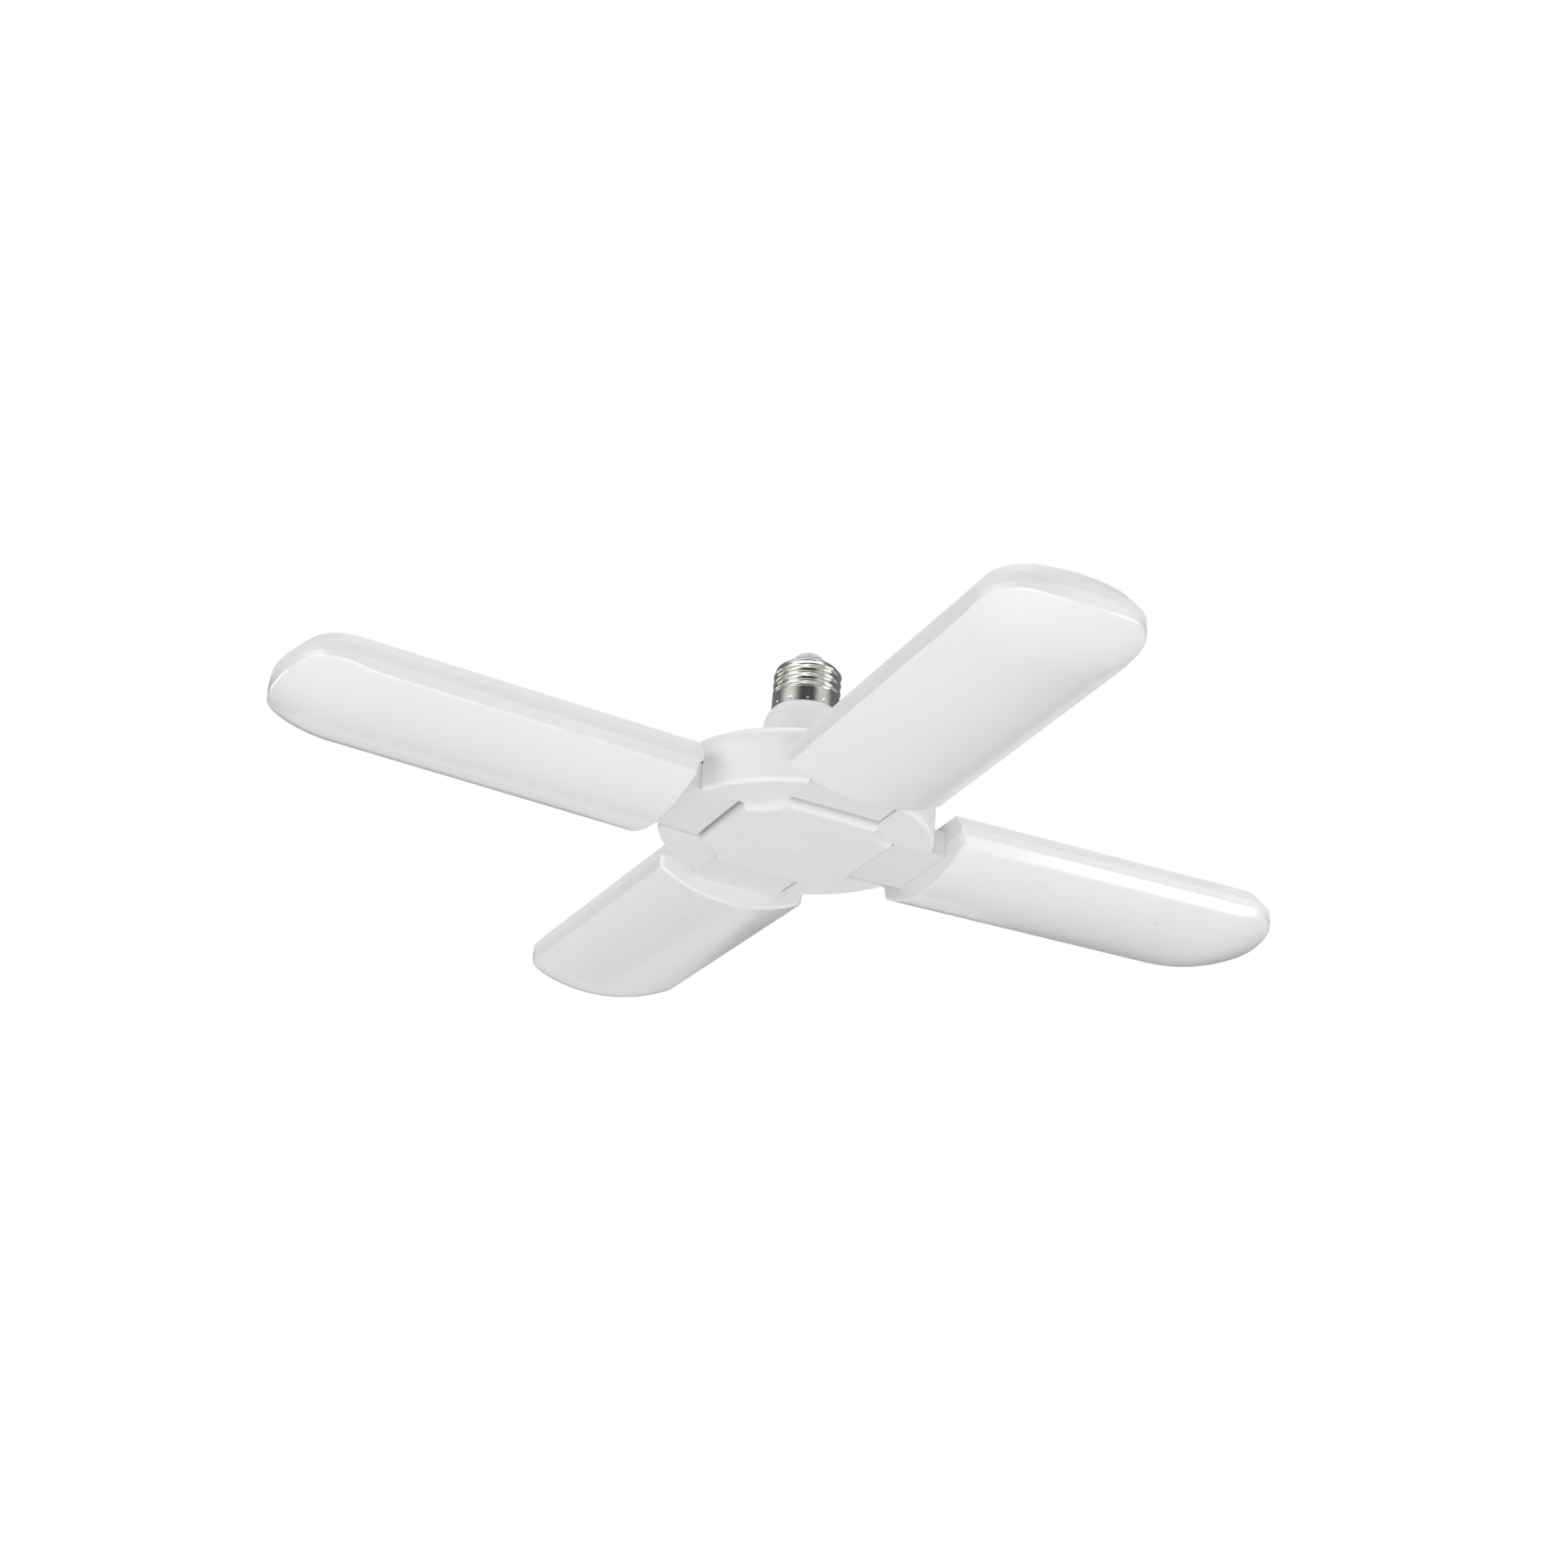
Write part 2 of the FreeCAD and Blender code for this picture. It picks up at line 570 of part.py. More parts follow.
def makeHousingScrews():
    body = newBody("housing_screws")
    top = hubTop - screwSink
    diagonal = screwCircle * math.sqrt(0.5)
    shank = newSketch(body, "screwShanks", "XY_Plane", top)
    drawCircle(shank, diagonal, diagonal, screwShank)
    shanks = pad(body, shank, top - hubWall - screwBite - bury, backwards=True)
    polar(body, [shanks], bladeCount)
    head = newSketch(body, "screwHeads", "XY_Plane", top)
    drawCircle(head, diagonal, diagonal, screwHead)
    heads = pad(body, head, screwSink / 2)
    polar(body, [heads], bladeCount)
    place(body)
    return body


def makeScrewShell():
    body = newBody("screw_shell")
    middle = capRadius - threadDepth / 2
    half = threadPitch / 2
    wave = (threadPitch * threadPitch / 16 + threadDepth * threadDepth / 4) / threadDepth
    start = capSeat + skirtHeight
    top = capSeat + shellHeight
    turns = 6
    outer = [(capRadius, capSeat), (capRadius, start - half / 2), (middle, start)]
    for row in range(1, turns + 1):
        outer.append((middle, start + half * row))
    outer.append((shellMouth + 0.8, top))
    inner = [(shellMouth, top), (shellMouth, top - shellWall), (shellMouth + 0.5, top - shellWall)]
    for row in range(turns, -1, -1):
        inner.append((middle - shellWall, start + half * row))
    inner.append((capRadius - shellWall, start - half / 2))
    inner.append((capRadius - shellWall, capSeat))
    bends = {}
    for row in range(turns):
        bends[2 + row] = (wave, 1 if row % 2 == 0 else -1)
        bends[len(outer) + 3 + row] = (wave, 1 if (turns - 1 - row) % 2 else -1)
    bends[2 + turns] = (shellBend, 1)
    bends[len(outer) + 2] = (shellBend, -1)
    profile = newSketch(body, "shellProfile", "XZ_Plane")
    drawLoop(profile, outer + inner, bends)
    turn(body, profile)
    place(body)
    return body


def makeCapInsulator():
    body = newBody("cap_insulator")
    top = capSeat + insulatorTop
    lip = capSeat + shellHeight
    profile = newSketch(body, "insulatorProfile", "XZ_Plane")
    drawLoop(profile, [
        (rivetRadius + screwGap, lip - shellWall * 5),
        (shellMouth + 1, lip - shellWall * 5),
        (shellMouth + 1, lip - shellWall * 3),
        (shellMouth - pegGap, lip - shellWall * 2),
        (shellMouth - pegGap, lip + shellWall / 2),
        (contactRadius + insulatorRim, top),
        (rivetRadius + screwGap, top),
    ], {4: (insulatorRound, 1)})
    turn(body, profile)
    place(body)
    return body


def makeCentreContact():
    body = newBody("centre_contact")
    seat = capSeat + insulatorTop
    crown = contactHeight / 2
    crownRound = (contactRadius * contactRadius + crown * crown) / (crown * 2)
    profile = newSketch(body, "contactProfile", "XZ_Plane")
    drawLoop(profile, [
        (zero, capSeat + shellHeight - shellWall * 6),
        (rivetRadius, capSeat + shellHeight - shellWall * 6),
        (rivetRadius, seat),
        (contactRadius, seat),
        (contactRadius, seat + crown),
        (zero, seat + contactHeight),
    ], {4: (crownRound, 1)})
    turn(body, profile)
    place(body)
    return body


# ---------------------------------------------------------------- driver
def makeDriverBoard():
    body = newBody("driver_board")
    sketch = newSketch(body, "driverOutline", "XY_Plane", driverTop)
    drawCircle(sketch, zero, zero, driverRadius)
    pad(body, sketch, driverThick, backwards=True)
    hole = newSketch(body, "driverHoles", "XY_Plane", driverTop)
    drawCircle(hole, postCircle, zero, tapRadius + screwGap)
    holes = pocket(body, hole, driverThick + over)
    polar(body, [holes], postCount)
    place(body)
    return body


def makeBoardScrews():
    body = newBody("driver_screws")
    under = driverTop - driverThick
    shank = newSketch(body, "driverShank", "XY_Plane", under)
    drawCircle(shank, postCircle, zero, tapRadius)
    shanks = pad(body, shank, driverThick + postDepth - bury)
    polar(body, [shanks], postCount)
    head = newSketch(body, "driverHead", "XY_Plane", under)
    drawCircle(head, postCircle, zero, tapHead)
    heads = pad(body, head, tapHeadThick, backwards=True)
    polar(body, [heads], postCount)
    place(body)
    return body


def makeCapacitors():
    body = newBody("filter_capacitors")
    base = driverTop + solderGap
    can = newSketch(body, "canCircle", "XY_Plane", base)
    drawCircle(can, capacitorSpacing, zero, capacitorRadius)
    cans = pad(body, can, capacitorHeight)
    rounded = soften(body, cans, contactRadius / 8,
                     lambda edge, box: close(box.ZMin, (base + capacitorHeight).value))
    polar(body, [cans, rounded], 2)
    place(body)
    return body


def makeChoke():
    body = newBody("choke_coil")
    top = driverTop - driverThick - solderGap
    profile = newSketch(body, "chokeProfile", "XZ_Plane")
    drawLoop(profile, [
        (zero, top - chokeHeight),
        (chokeRadius, top - chokeHeight),
        (chokeRadius, top - chokeHeight + chokeFlange),
        (chokeWinding, top - chokeHeight + chokeFlange),
        (chokeWinding, top - chokeFlange),
        (chokeRadius, top - chokeFlange),
        (chokeRadius, top),
        (zero, top),
    ])
    turn(body, profile)
    place(body)
    return body


def makeBlock(label, along, across, length, width, thick, above):
    """A small boxed component soldered to one face of the driver board."""
    block = doc.addObject("Part::Box", label)
    block.Label = label
    for item, value in (("Length", length), ("Width", width), ("Height", thick)):
        setattr(block, item, value.value)
        block.setExpression(item, value.text)
    face = down + driverTop
    lift = face + solderGap if above else face - driverThick - solderGap - thick
    spot = FreeCAD.Vector(along.value, across.value, lift.value)
    block.Placement = FreeCAD.Placement(spot, FreeCAD.Rotation())
    for axis, value in (("x", along), ("y", across), ("z", lift)):
        block.setExpression(".Placement.Base." + axis, value.text)
    return block


# ---------------------------------------------------------------- blade pieces
coreAcross = bladeHalf - tipCorner
noseCentre = bladeReach - tipNose
cornerCentre = noseCentre + root((tipNose - tipCorner) * (tipNose - tipCorner) - coreAcross * coreAcross)


def drawBlade(sketch, inset, heel):
    """The blade seen from below, drawn inwards by inset: straight sides and a round tip."""
    half = bladeHalf - inset
    nose = tipNose - inset
    share = nose / (tipNose - tipCorner)
    touchX = noseCentre + (cornerCentre - noseCentre) * share
    touchY = coreAcross * share
    corners = [
        (heel, -half),
        (cornerCentre, -half),
        (touchX, -touchY),
        (touchX, touchY),
        (cornerCentre, half),
        (heel, half),
    ]
    bends = {1: (tipCorner - inset, 1), 2: (nose, 1), 3: (tipCorner - inset, 1)}
    drawLoop(sketch, corners, bends)


def ribEnd(across, inset):
    """How far out a rib may run at one distance from the blade's middle."""
    nose = tipNose - inset
    corner = tipCorner - inset
    share = nose / (tipNose - tipCorner)
    if across.value < (coreAcross * share).value:
        return noseCentre + root(nose * nose - across * across)
    rest = across - coreAcross
    return cornerCentre + root(corner * corner - rest * rest)


def makeBackCover(step):
    name = "back_cover_%d" % (step + 1)
    body = newBody(name)
    bandTop = rimHeight + rimBand
    coverTop = bandTop + slopeUp
    wellInset = slopeIn * (slopeUp - coverWall) / slopeUp + coverWall
    rim = newSketch(body, name + "Rim", "XY_Plane", rimHeight)
    drawBlade(rim, zero, coverHeel)
    pad(body, rim, rimBand)
    low = newSketch(body, name + "Low", "XY_Plane", bandTop)
    drawBlade(low, zero, coverHeel)
    top = newSketch(body, name + "Top", "XY_Plane", coverTop)
    drawBlade(top, slopeIn, coverHeel)
    slope = loft(body, low, top)
    soften(body, slope, coverRound,
           lambda edge, box: close(box.ZMin, coverTop.value) and close(box.ZLength, 0))
    ribs = newSketch(body, name + "Ribs", "XY_Plane", coverTop - coverRound / 4)
    for row in range(-ribPairs, ribPairs + 1):
        middleLine = ribPitch * row
        outside = ribPitch * abs(row) + ribWidth / 2
        far = ribEnd(outside, slopeIn + ribSetback)
        drawBox(ribs, ribStart, far, middleLine - ribWidth / 2, middleLine + ribWidth / 2)
    pad(body, ribs, ribHeight + coverRound / 4)
    shallow = newSketch(body, name + "Shallow", "XY_Plane", rimHeight)
    drawBlade(shallow, lipWall, coverHeel + heelWall)
    pocket(body, shallow, rimBand, backwards=True)
    deep = newSketch(body, name + "Deep", "XY_Plane", rimHeight)
    drawBlade(deep, wellInset, coverHeel + coverWall)
    pocket(body, deep, coverTop - coverWall - rimHeight, backwards=True)
    bosses = newSketch(body, name + "Bosses", "XY_Plane", bandTop)
    for along in (bossFirst, bossFirst + bossSpan):
        for across in (-bossHalf, bossHalf):
            drawCircle(bosses, along, across, bossRadius)
    pad(body, bosses, coverTop - coverWall - bandTop + bury)
    taps = newSketch(body, name + "Taps", "XY_Plane", bandTop - over)
    for along in (bossFirst, bossFirst + bossSpan):
        for across in (-bossHalf, bossHalf):
            drawCircle(taps, along, across, tapRadius + screwGap)
    pocket(body, taps, tapLength + over, backwards=True)
    tongue = newSketch(body, name + "Tongue", "XY_Plane", tongueLow)
    drawBox(tongue, tongueEnd, coverHeel, -tongueHalf, tongueHalf)
    plate = pad(body, tongue, tongueTop - tongueLow)
    soften(body, plate, tongueRound,
           lambda edge, box: close(box.XMax, tongueEnd.value) and close(box.ZMin, tongueTop.value))
    tray = newSketch(body, name + "Tray", "XY_Plane", tongueTop + over)
    drawBox(tray, tongueEnd + tongueWall, coverHeel - tongueWall / 2,
            -(tongueHalf - tongueWall), tongueHalf - tongueWall)
    pocket(body, tray, tongueTop - tongueLow - tongueWall + over)
    heel = newSketch(body, name + "Heel", "XZ_Plane")
    lean = diffuserDraft * (rimHeight - tongueLow) / diffuserDepth
    drawLoop(heel, [
        (coverHeel - bury, tongueLow),
        (diffuserHeel - lipGap + lean, tongueLow),
        (diffuserHeel - lipGap, rimHeight),
        (coverHeel - bury, rimHeight),
    ])
    pad(body, heel, tongueHalf * 2, both=True)
    webs = newSketch(body, name + "Webs", "XY_Plane", tongueLow + tongueWall / 2)
    for side in (-1, 1):
        line = tongueHalf / 3 * side
        drawBox(webs, tongueEnd + tongueWall / 2, coverHeel, line - tongueWall / 4, line + tongueWall / 4)
    pad(body, webs, tongueTop - tongueLow - tongueWall)
    barrel = newSketch(body, name + "Barrel", "XZ_Plane")
    drawCircle(barrel, pinCircle, pinHeight, barrelRadius)
    pad(body, barrel, tongueHalf * 2, both=True)
    bore = newSketch(body, name + "Bore", "XZ_Plane")
    drawCircle(bore, pinCircle, pinHeight, pinRadius + hingeGap)
    pocket(body, bore, (tongueHalf + over) * 2, both=True)
    leads = newSketch(body, name + "Leads", "YZ_Plane", tongueEnd)
    drawCircle(leads, zero, tongueTop - tongueWall, leadHole)
    pocket(body, leads, coverHeel + coverWall - tongueEnd + over, backwards=True)
    body.Placement = bladePlacement(step)
    return body


def makeDiffuser(step):
    """The milky cover: drafted walls, an arched face that ends in a dome, and a lip."""
    name = "diffuser_%d" % (step + 1)
    low = rimHeight - diffuserDepth
    shapes = []
    for tag, inset, corner in (("Outer", zero, heelCorner), ("Inner", diffuserWall, wellCorner)):
        body = newBody(name + tag)
        top = newSketch(body, name + tag + "Top", "XY_Plane", rimHeight)
        drawBlade(top, inset, diffuserHeel + inset)
        bottom = newSketch(body, name + tag + "Low", "XY_Plane", low)
        drawBlade(bottom, inset + diffuserDraft, diffuserHeel + inset + diffuserDraft)
        walls = loft(body, top, bottom)
        soften(body, walls, corner,
               lambda edge, box: box.ZLength > 5 and box.XMax < boardHeel.value + inset.value)
        radius = crownRadius - inset
        centre = crownRadius - crownDepth
        domeAt = bladeReach - bladeHalf
        arch = doc.addObject("Part::Cylinder", name + tag + "Arch")
        arch.Radius = radius.value
        arch.setExpression("Radius", radius.text)
        arch.Height = domeAt.value
        arch.setExpression("Height", domeAt.text)
        lying = FreeCAD.Rotation(FreeCAD.Vector(0, 1, 0), 90)
        arch.Placement = FreeCAD.Placement(FreeCAD.Vector(0, 0, centre.value), lying)
        arch.setExpression(".Placement.Base.z", centre.text)
        dome = doc.addObject("Part::Sphere", name + tag + "Dome")
        dome.Radius = radius.value
        dome.setExpression("Radius", radius.text)
        dome.Placement = FreeCAD.Placement(FreeCAD.Vector(domeAt.value, 0, centre.value), FreeCAD.Rotation())
        dome.setExpression(".Placement.Base.x", domeAt.text)
        dome.setExpression(".Placement.Base.z", centre.text)
        crown = doc.addObject("Part::Fuse", name + tag + "Crown")
        crown.Base = arch
        crown.Tool = dome
        trimmed = doc.addObject("Part::Common", name + tag + "Trimmed")
        trimmed.Base = body
        trimmed.Tool = crown
        shapes.append(trimmed)
    doc.recompute()
    rounded = doc.addObject("Part::Fillet", name + "Rounded")
    rounded.Base = shapes[0]
    picked = []
    for row, edge in enumerate(shapes[0].Shape.Edges, 1):
        box = edge.BoundBox
        if box.ZMax < rimHeight.value - bury.value and not isSeamEdge(shapes[0].Shape, edge):
            picked.append((row, diffuserRound.value, diffuserRound.value))
    rounded.Edges = picked
    lip = newBody(name + "Lip")
    ring = newSketch(lip, name + "Ring", "XY_Plane", rimHeight - bury)
    outside = lipWall + lipGap
    drawBlade(ring, outside, coverHeel + heelWall + lipGap)
    drawBlade(ring, diffuserWall, diffuserHeel + diffuserWall)
    pad(lip, ring, lipHeight + bury)
    shell = doc.addObject("Part::Cut", name + "Shell")
    shell.Base = rounded
    shell.Tool = shapes[1]
    item = doc.addObject("Part::Fuse", name)
    item.Base = shell
    item.Tool = lip
    item.Label = name
    item.Placement = bladePlacement(step)
    return item


def isSeamEdge(shape, edge):
    """True for an edge inside a smooth face, such as where the arch runs into the dome."""
    faces = [face for face in shape.Faces if any(edge.isSame(other) for other in face.Edges)]
    if len(faces) < 2:
        return True
    point = edge.valueAt((edge.FirstParameter + edge.LastParameter) / 2)
    normals = []
    for face in faces[:2]:
        u, v = face.Surface.parameter(point)
        normals.append(face.normalAt(u, v))
    return normals[0].getAngle(normals[1]) < math.radians(5)


def makeLedBoard(step):
    name = "led_board_%d" % (step + 1)
    body = newBody(name)
    top = rimHeight + rimBand - boardGap
    outline = newSketch(body, name + "Outline", "XY_Plane", top)
    drawBlade(outline, boardInset, boardHeel)
    pad(body, outline, boardThick, backwards=True)
    holes = newSketch(body, name + "Holes", "XY_Plane", top + over)
    for along in (bossFirst, bossFirst + bossSpan):
        for across in (-bossHalf, bossHalf):
            drawCircle(holes, along, across, tapRadius + screwGap)
    pocket(body, holes, boardThick + over * 2)
    body.Placement = bladePlacement(step)
    return body


def makeLedScrews(step):
    name = "led_board_screws_%d" % (step + 1)
    body = newBody(name)
    under = rimHeight + rimBand - boardGap - boardThick
    for tag, radius, length, backwards in (("Shank", tapRadius, tapLength, False),
                                           ("Head", tapHead, tapHeadThick, True)):
        sketch = newSketch(body, name + tag, "XY_Plane", under)
        for along in (bossFirst, bossFirst + bossSpan):
            for across in (-bossHalf, bossHalf):
                drawCircle(sketch, along, across, radius)
        pad(body, sketch, length, backwards)
    body.Placement = bladePlacement(step)
    return body


def makeLedChips(step):
    name = "led_chips_%d" % (step + 1)
    body = newBody(name)
    under = rimHeight + rimBand - boardGap - boardThick
    sketch = newSketch(body, name + "First", "XY_Plane", under)
    left = -(chipSpread / 2)
    drawBox(sketch, chipFirst, chipFirst + chipLength, left - chipWidth / 2, left + chipWidth / 2)
    chip = pad(body, sketch, chipThick, backwards=True)
    grid = body.newObject("PartDesign::MultiTransform", name + "Grid")
    grid.Originals = [chip]
    along = body.newObject("PartDesign::LinearPattern", name + "Along")
    along.Direction = (plane(body, "X_Axis"), [""])
    along.Length = chipSpan.value
    along.setExpression("Length", chipSpan.text)
    along.Occurrences = chipRows
    across = body.newObject("PartDesign::LinearPattern", name + "Across")
    across.Direction = (plane(body, "Y_Axis"), [""])
    across.Length = chipSpread.value
    across.setExpression("Length", chipSpread.text)
    across.Occurrences = chipColumns
    grid.Transformations = [along, across]
    body.Tip = grid
    body.Placement = bladePlacement(step)
    return body


def makeHingePin(step):
    name = "hinge_pin_%d" % (step + 1)
    body = newBody(name)
    sketch = newSketch(body, name + "Circle", "XZ_Plane")
    drawCircle(sketch, pinCircle, pinHeight, pinRadius)
    rod = pad(body, sketch, pinHalf * 2, both=True)
    soften(body, rod, pinRadius / 4, lambda edge, box: close(box.YLength, 0), "Chamfer")
    body.Placement = slotPlacement(step)
    return body


def makeWashers(step):
    name = "hinge_washers_%d" % (step + 1)
    body = newBody(name)
    for side in (-1, 1):
        offset = (slotHalf + tongueHalf) / 2 * side - washerThick / 2
        sketch = newSketch(body, name + ("Left" if side < 0 else "Right"), "XZ_Plane", offset)
        drawCircle(sketch, pinCircle, pinHeight, washerRadius)
        drawCircle(sketch, pinCircle, pinHeight, pinRadius + hingeGap)
        pad(body, sketch, washerThick)
    body.Placement = slotPlacement(step)
    return body


# ---------------------------------------------------------------- the assembly
pieces = [
    makeScrewShell(),
    makeCapInsulator(),
    makeCentreContact(),
    makeNeck(),
    makeUpperHousing(),
    makeLowerHousing(),
    makeCentrePanel(),
    makeHousingScrews(),
    makeDriverBoard(),
    makeBoardScrews(),
    makeCapacitors(),
    makeChoke(),
    makeBlock("bridge_rectifier", rectifierX, rectifierY, rectifierLong, rectifierWide, rectifierTall, True),
    makeBlock("driver_chip", chipX, chipY, chipLong, chipWide, chipTall, True),
    makeBlock("film_capacitor", filmX, filmY, filmLong, filmWide, filmTall, False),
    makeBlock("surge_absorber", surgeX, surgeY, surgeLong, surgeWide, surgeTall, False),
]
for step in range(bladeCount):
    pieces.append(makeBackCover(step))
    pieces.append(makeDiffuser(step))
    pieces.append(makeLedBoard(step))
    pieces.append(makeLedScrews(step))
    pieces.append(makeLedChips(step))
    pieces.append(makeHingePin(step))
    pieces.append(makeWashers(step))
doc.recompute()

failed = [item.Name for item in doc.Objects if "Invalid" in item.State or "Error" in item.State]
for item in pieces:
    if item.Shape.isNull() or not item.Shape.isValid():
        failed.append(item.Label + " shape")
if failed:
    raise RuntimeError("these objects failed: " + ", ".join(failed))
os.makedirs("parts", exist_ok=True)
for item in pieces:
    item.Shape.exportStep("parts/%s.step" % item.Label)
    box = item.Shape.BoundBox
    print("%-22s solids %2d volume %9.1f z %7.2f to %7.2f" % (
        item.Label, len(item.Shape.Solids), item.Shape.Volume, box.ZMin, box.ZMax))
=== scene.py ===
import math

import bpy
from mathutils import Euler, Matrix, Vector


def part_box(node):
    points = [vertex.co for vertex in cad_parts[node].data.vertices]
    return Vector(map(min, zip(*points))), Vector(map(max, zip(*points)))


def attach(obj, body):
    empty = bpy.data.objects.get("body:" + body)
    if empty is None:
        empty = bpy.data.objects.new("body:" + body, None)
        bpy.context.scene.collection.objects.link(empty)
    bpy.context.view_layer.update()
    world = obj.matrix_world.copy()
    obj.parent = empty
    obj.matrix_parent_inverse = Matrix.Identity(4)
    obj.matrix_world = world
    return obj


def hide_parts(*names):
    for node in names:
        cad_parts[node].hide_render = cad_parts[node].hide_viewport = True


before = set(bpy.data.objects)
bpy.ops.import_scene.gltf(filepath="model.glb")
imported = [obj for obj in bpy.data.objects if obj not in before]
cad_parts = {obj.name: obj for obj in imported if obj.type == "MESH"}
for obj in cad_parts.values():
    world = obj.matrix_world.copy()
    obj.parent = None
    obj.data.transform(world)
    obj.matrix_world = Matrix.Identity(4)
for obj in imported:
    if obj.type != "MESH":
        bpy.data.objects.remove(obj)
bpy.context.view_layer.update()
mm = 0.001
fullTurn = 2 * math.pi


# camera, where the photographer stood: below the lamp and to its near left
cameraView = {"place": (-0.41543, -0.87823, -0.49361), "turn": (115.571, -4.049, -26.895), "lens": 64.479,
              "sensor": 36, "nearest": 0.01}
eye = bpy.data.cameras.new("lampCamera")
eye.lens = cameraView["lens"]
eye.sensor_width = cameraView["sensor"]
eye.clip_start = cameraView["nearest"]
camera = bpy.data.objects.new("lampCamera", eye)
camera.location = cameraView["place"]
camera.rotation_euler = Euler([math.radians(angle) for angle in cameraView["turn"]])
bpy.context.scene.collection.objects.link(camera)
bpy.context.scene.camera = camera
print("camera set")


# one number or colour on its way through a set of nodes, so that sums can be written as sums
class Wire:
    def __init__(self, net, socket):
        self.net = net
        self.socket = socket

    def sum(self, operation, other, swap=False):
        first, second = (other, self) if swap else (self, other)
        return self.net.node("ShaderNodeMath", {"operation": operation}, {0: first, 1: second})

    def __add__(self, other):
        return self.sum("ADD", other)

    def __sub__(self, other):
        return self.sum("SUBTRACT", other)

    def __rsub__(self, other):
        return self.sum("SUBTRACT", other, swap=True)

    def __mul__(self, other):
        return self.sum("MULTIPLY", other)

    def __gt__(self, other):
        return self.sum("GREATER_THAN", other)

    __radd__ = __add__
    __rmul__ = __mul__


# nodes are asked for by kind and joined as they are made
class Net:
    def __init__(self, owner):
        owner.use_nodes = True
        self.tree = owner.node_tree
        self.tree.nodes.clear()

    def node(self, kind, settings=None, sockets=None, output=0):
        made = self.tree.nodes.new(kind)
        for name, value in (settings or {}).items():
            if name == "stops":
                self.setStops(made.color_ramp.elements, value)
            else:
                setattr(made, name, value)
        for name, value in (sockets or {}).items():
            self.feed(made.inputs[name], value)
        return Wire(self, made.outputs[output] if len(made.outputs) else None)

    def setStops(self, elements, stops):
        while len(elements) < len(stops):
            elements.new(1)
        for element, (spot, tone) in zip(elements, stops):
            element.position = spot
            element.color = (tone, tone, tone, 1)

    def feed(self, socket, value):
        if isinstance(value, Wire):
            self.tree.links.new(value.socket, socket)
        else:
            socket.default_value = value

    def blend(self, factor, low, high):
        sockets = {0: factor}
        for row, tone in ((6, low), (7, high)):  # the Mix node's two colour sockets
            sockets[row] = tone if isinstance(tone, Wire) else (*tone, 1)
        return self.node("ShaderNodeMix", {"data_type": "RGBA"}, sockets, 2)


# a material under way, with the steps that the finishes share
class Finish(Net):
    def __init__(self, name, constants):
        self.material = bpy.data.materials.new(name)
        super().__init__(self.material)
        self.shader = self.tree.nodes.new("ShaderNodeBsdfPrincipled")
        self.node("ShaderNodeOutputMaterial", {}, {"Surface": Wire(self, self.shader.outputs[0])})
        for socket, value in constants.items():
            self.shader.inputs[socket].default_value = value

    def place(self):
        return self.node("ShaderNodeTexCoord", output="Object")

    def height(self):  # the upright coordinate, in metres
        return self.node("ShaderNodeSeparateXYZ", {}, {0: self.place()}, "Z")

    def noise(self, scale, detail, rough=0.5, squeeze=None):
        vector = self.place()
        if squeeze:
            vector = self.node("ShaderNodeMapping", {}, {"Vector": vector, "Scale": squeeze})
        return self.node("ShaderNodeTexNoise", {}, {"Vector": vector, "Scale": scale, "Detail": detail,
                                                    "Roughness": rough}, "Fac")

    def specks(self, scale, reach):  # 1 in small round spots, 0 elsewhere
        cells = self.node("ShaderNodeTexVoronoi", {}, {"Vector": self.place(), "Scale": scale}, "Distance")
        return reach - cells > 0.0

    def spread(self, value, low, high, start=0.0, end=1.0):
        return self.node("ShaderNodeMapRange", {}, {"Value": value, "From Min": start, "From Max": end,
                                                    "To Min": low, "To Max": high})

    def bump(self, height, strength, depth, below=None):
        sockets = {"Height": height, "Strength": strength, "Distance": depth}
        if below:
            sockets["Normal"] = below
        return self.node("ShaderNodeBump", {}, sockets)

    def set(self, **links):
        names = {"color": "Base Color", "roughness": "Roughness", "normal": "Normal", "metal": "Metallic"}
        for name, value in links.items():
            self.feed(self.shader.inputs[names[name]], value)
        return self.material


# moulded plastic: a slow cloud in tone and gloss, fine moulded grain and a few dust specks
plasticDetail = {"cloudShare": 0.6, "streakScale": 1.7, "streakRough": 0.6, "noiseLow": 0.3, "noiseHigh": 0.7,
                 "speckReach": 0.022, "speckShade": 0.35, "roughSwing": 0.07, "waveDepth": 1 * mm,
                 "grainDepth": 0.2 * mm}
plasticBase = {"flow": (1, 1, 1), "dustScale": 90.0, "coat": 0.0, "coatRough": 0.1}


def plasticFinish(name, ownLook):
    look = {**plasticBase, **ownLook}
    detail = plasticDetail
    noiseRange = (detail["noiseLow"], detail["noiseHigh"])
    made = Finish(name, {"Specular IOR Level": look["shine"], "Coat Weight": look["coat"],
                         "Coat Roughness": look["coatRough"]})
    cloud = made.noise(look["cloudScale"], 4)
    streak = made.noise(look["cloudScale"] * detail["streakScale"], 5, detail["streakRough"], look["flow"])
    mixed = cloud * detail["cloudShare"] + streak * (1 - detail["cloudShare"])
    tone = made.spread(mixed, 0.0, 1.0, *noiseRange)
    dust = made.specks(look["dustScale"], detail["speckReach"])
    plain = made.blend(tone, look["dark"], look["light"])
    color = made.blend(dust * detail["speckShade"], plain, look["dust"])
    swing = detail["roughSwing"]
    rough = made.spread(streak, look["rough"] - swing, look["rough"] + swing, *noiseRange)
    wave = made.bump(cloud, look["wave"], detail["waveDepth"])
    grain = made.bump(made.noise(look["grainScale"], 2), look["grain"], detail["grainDepth"], wave)
    return made.set(color=color, roughness=rough, normal=grain)


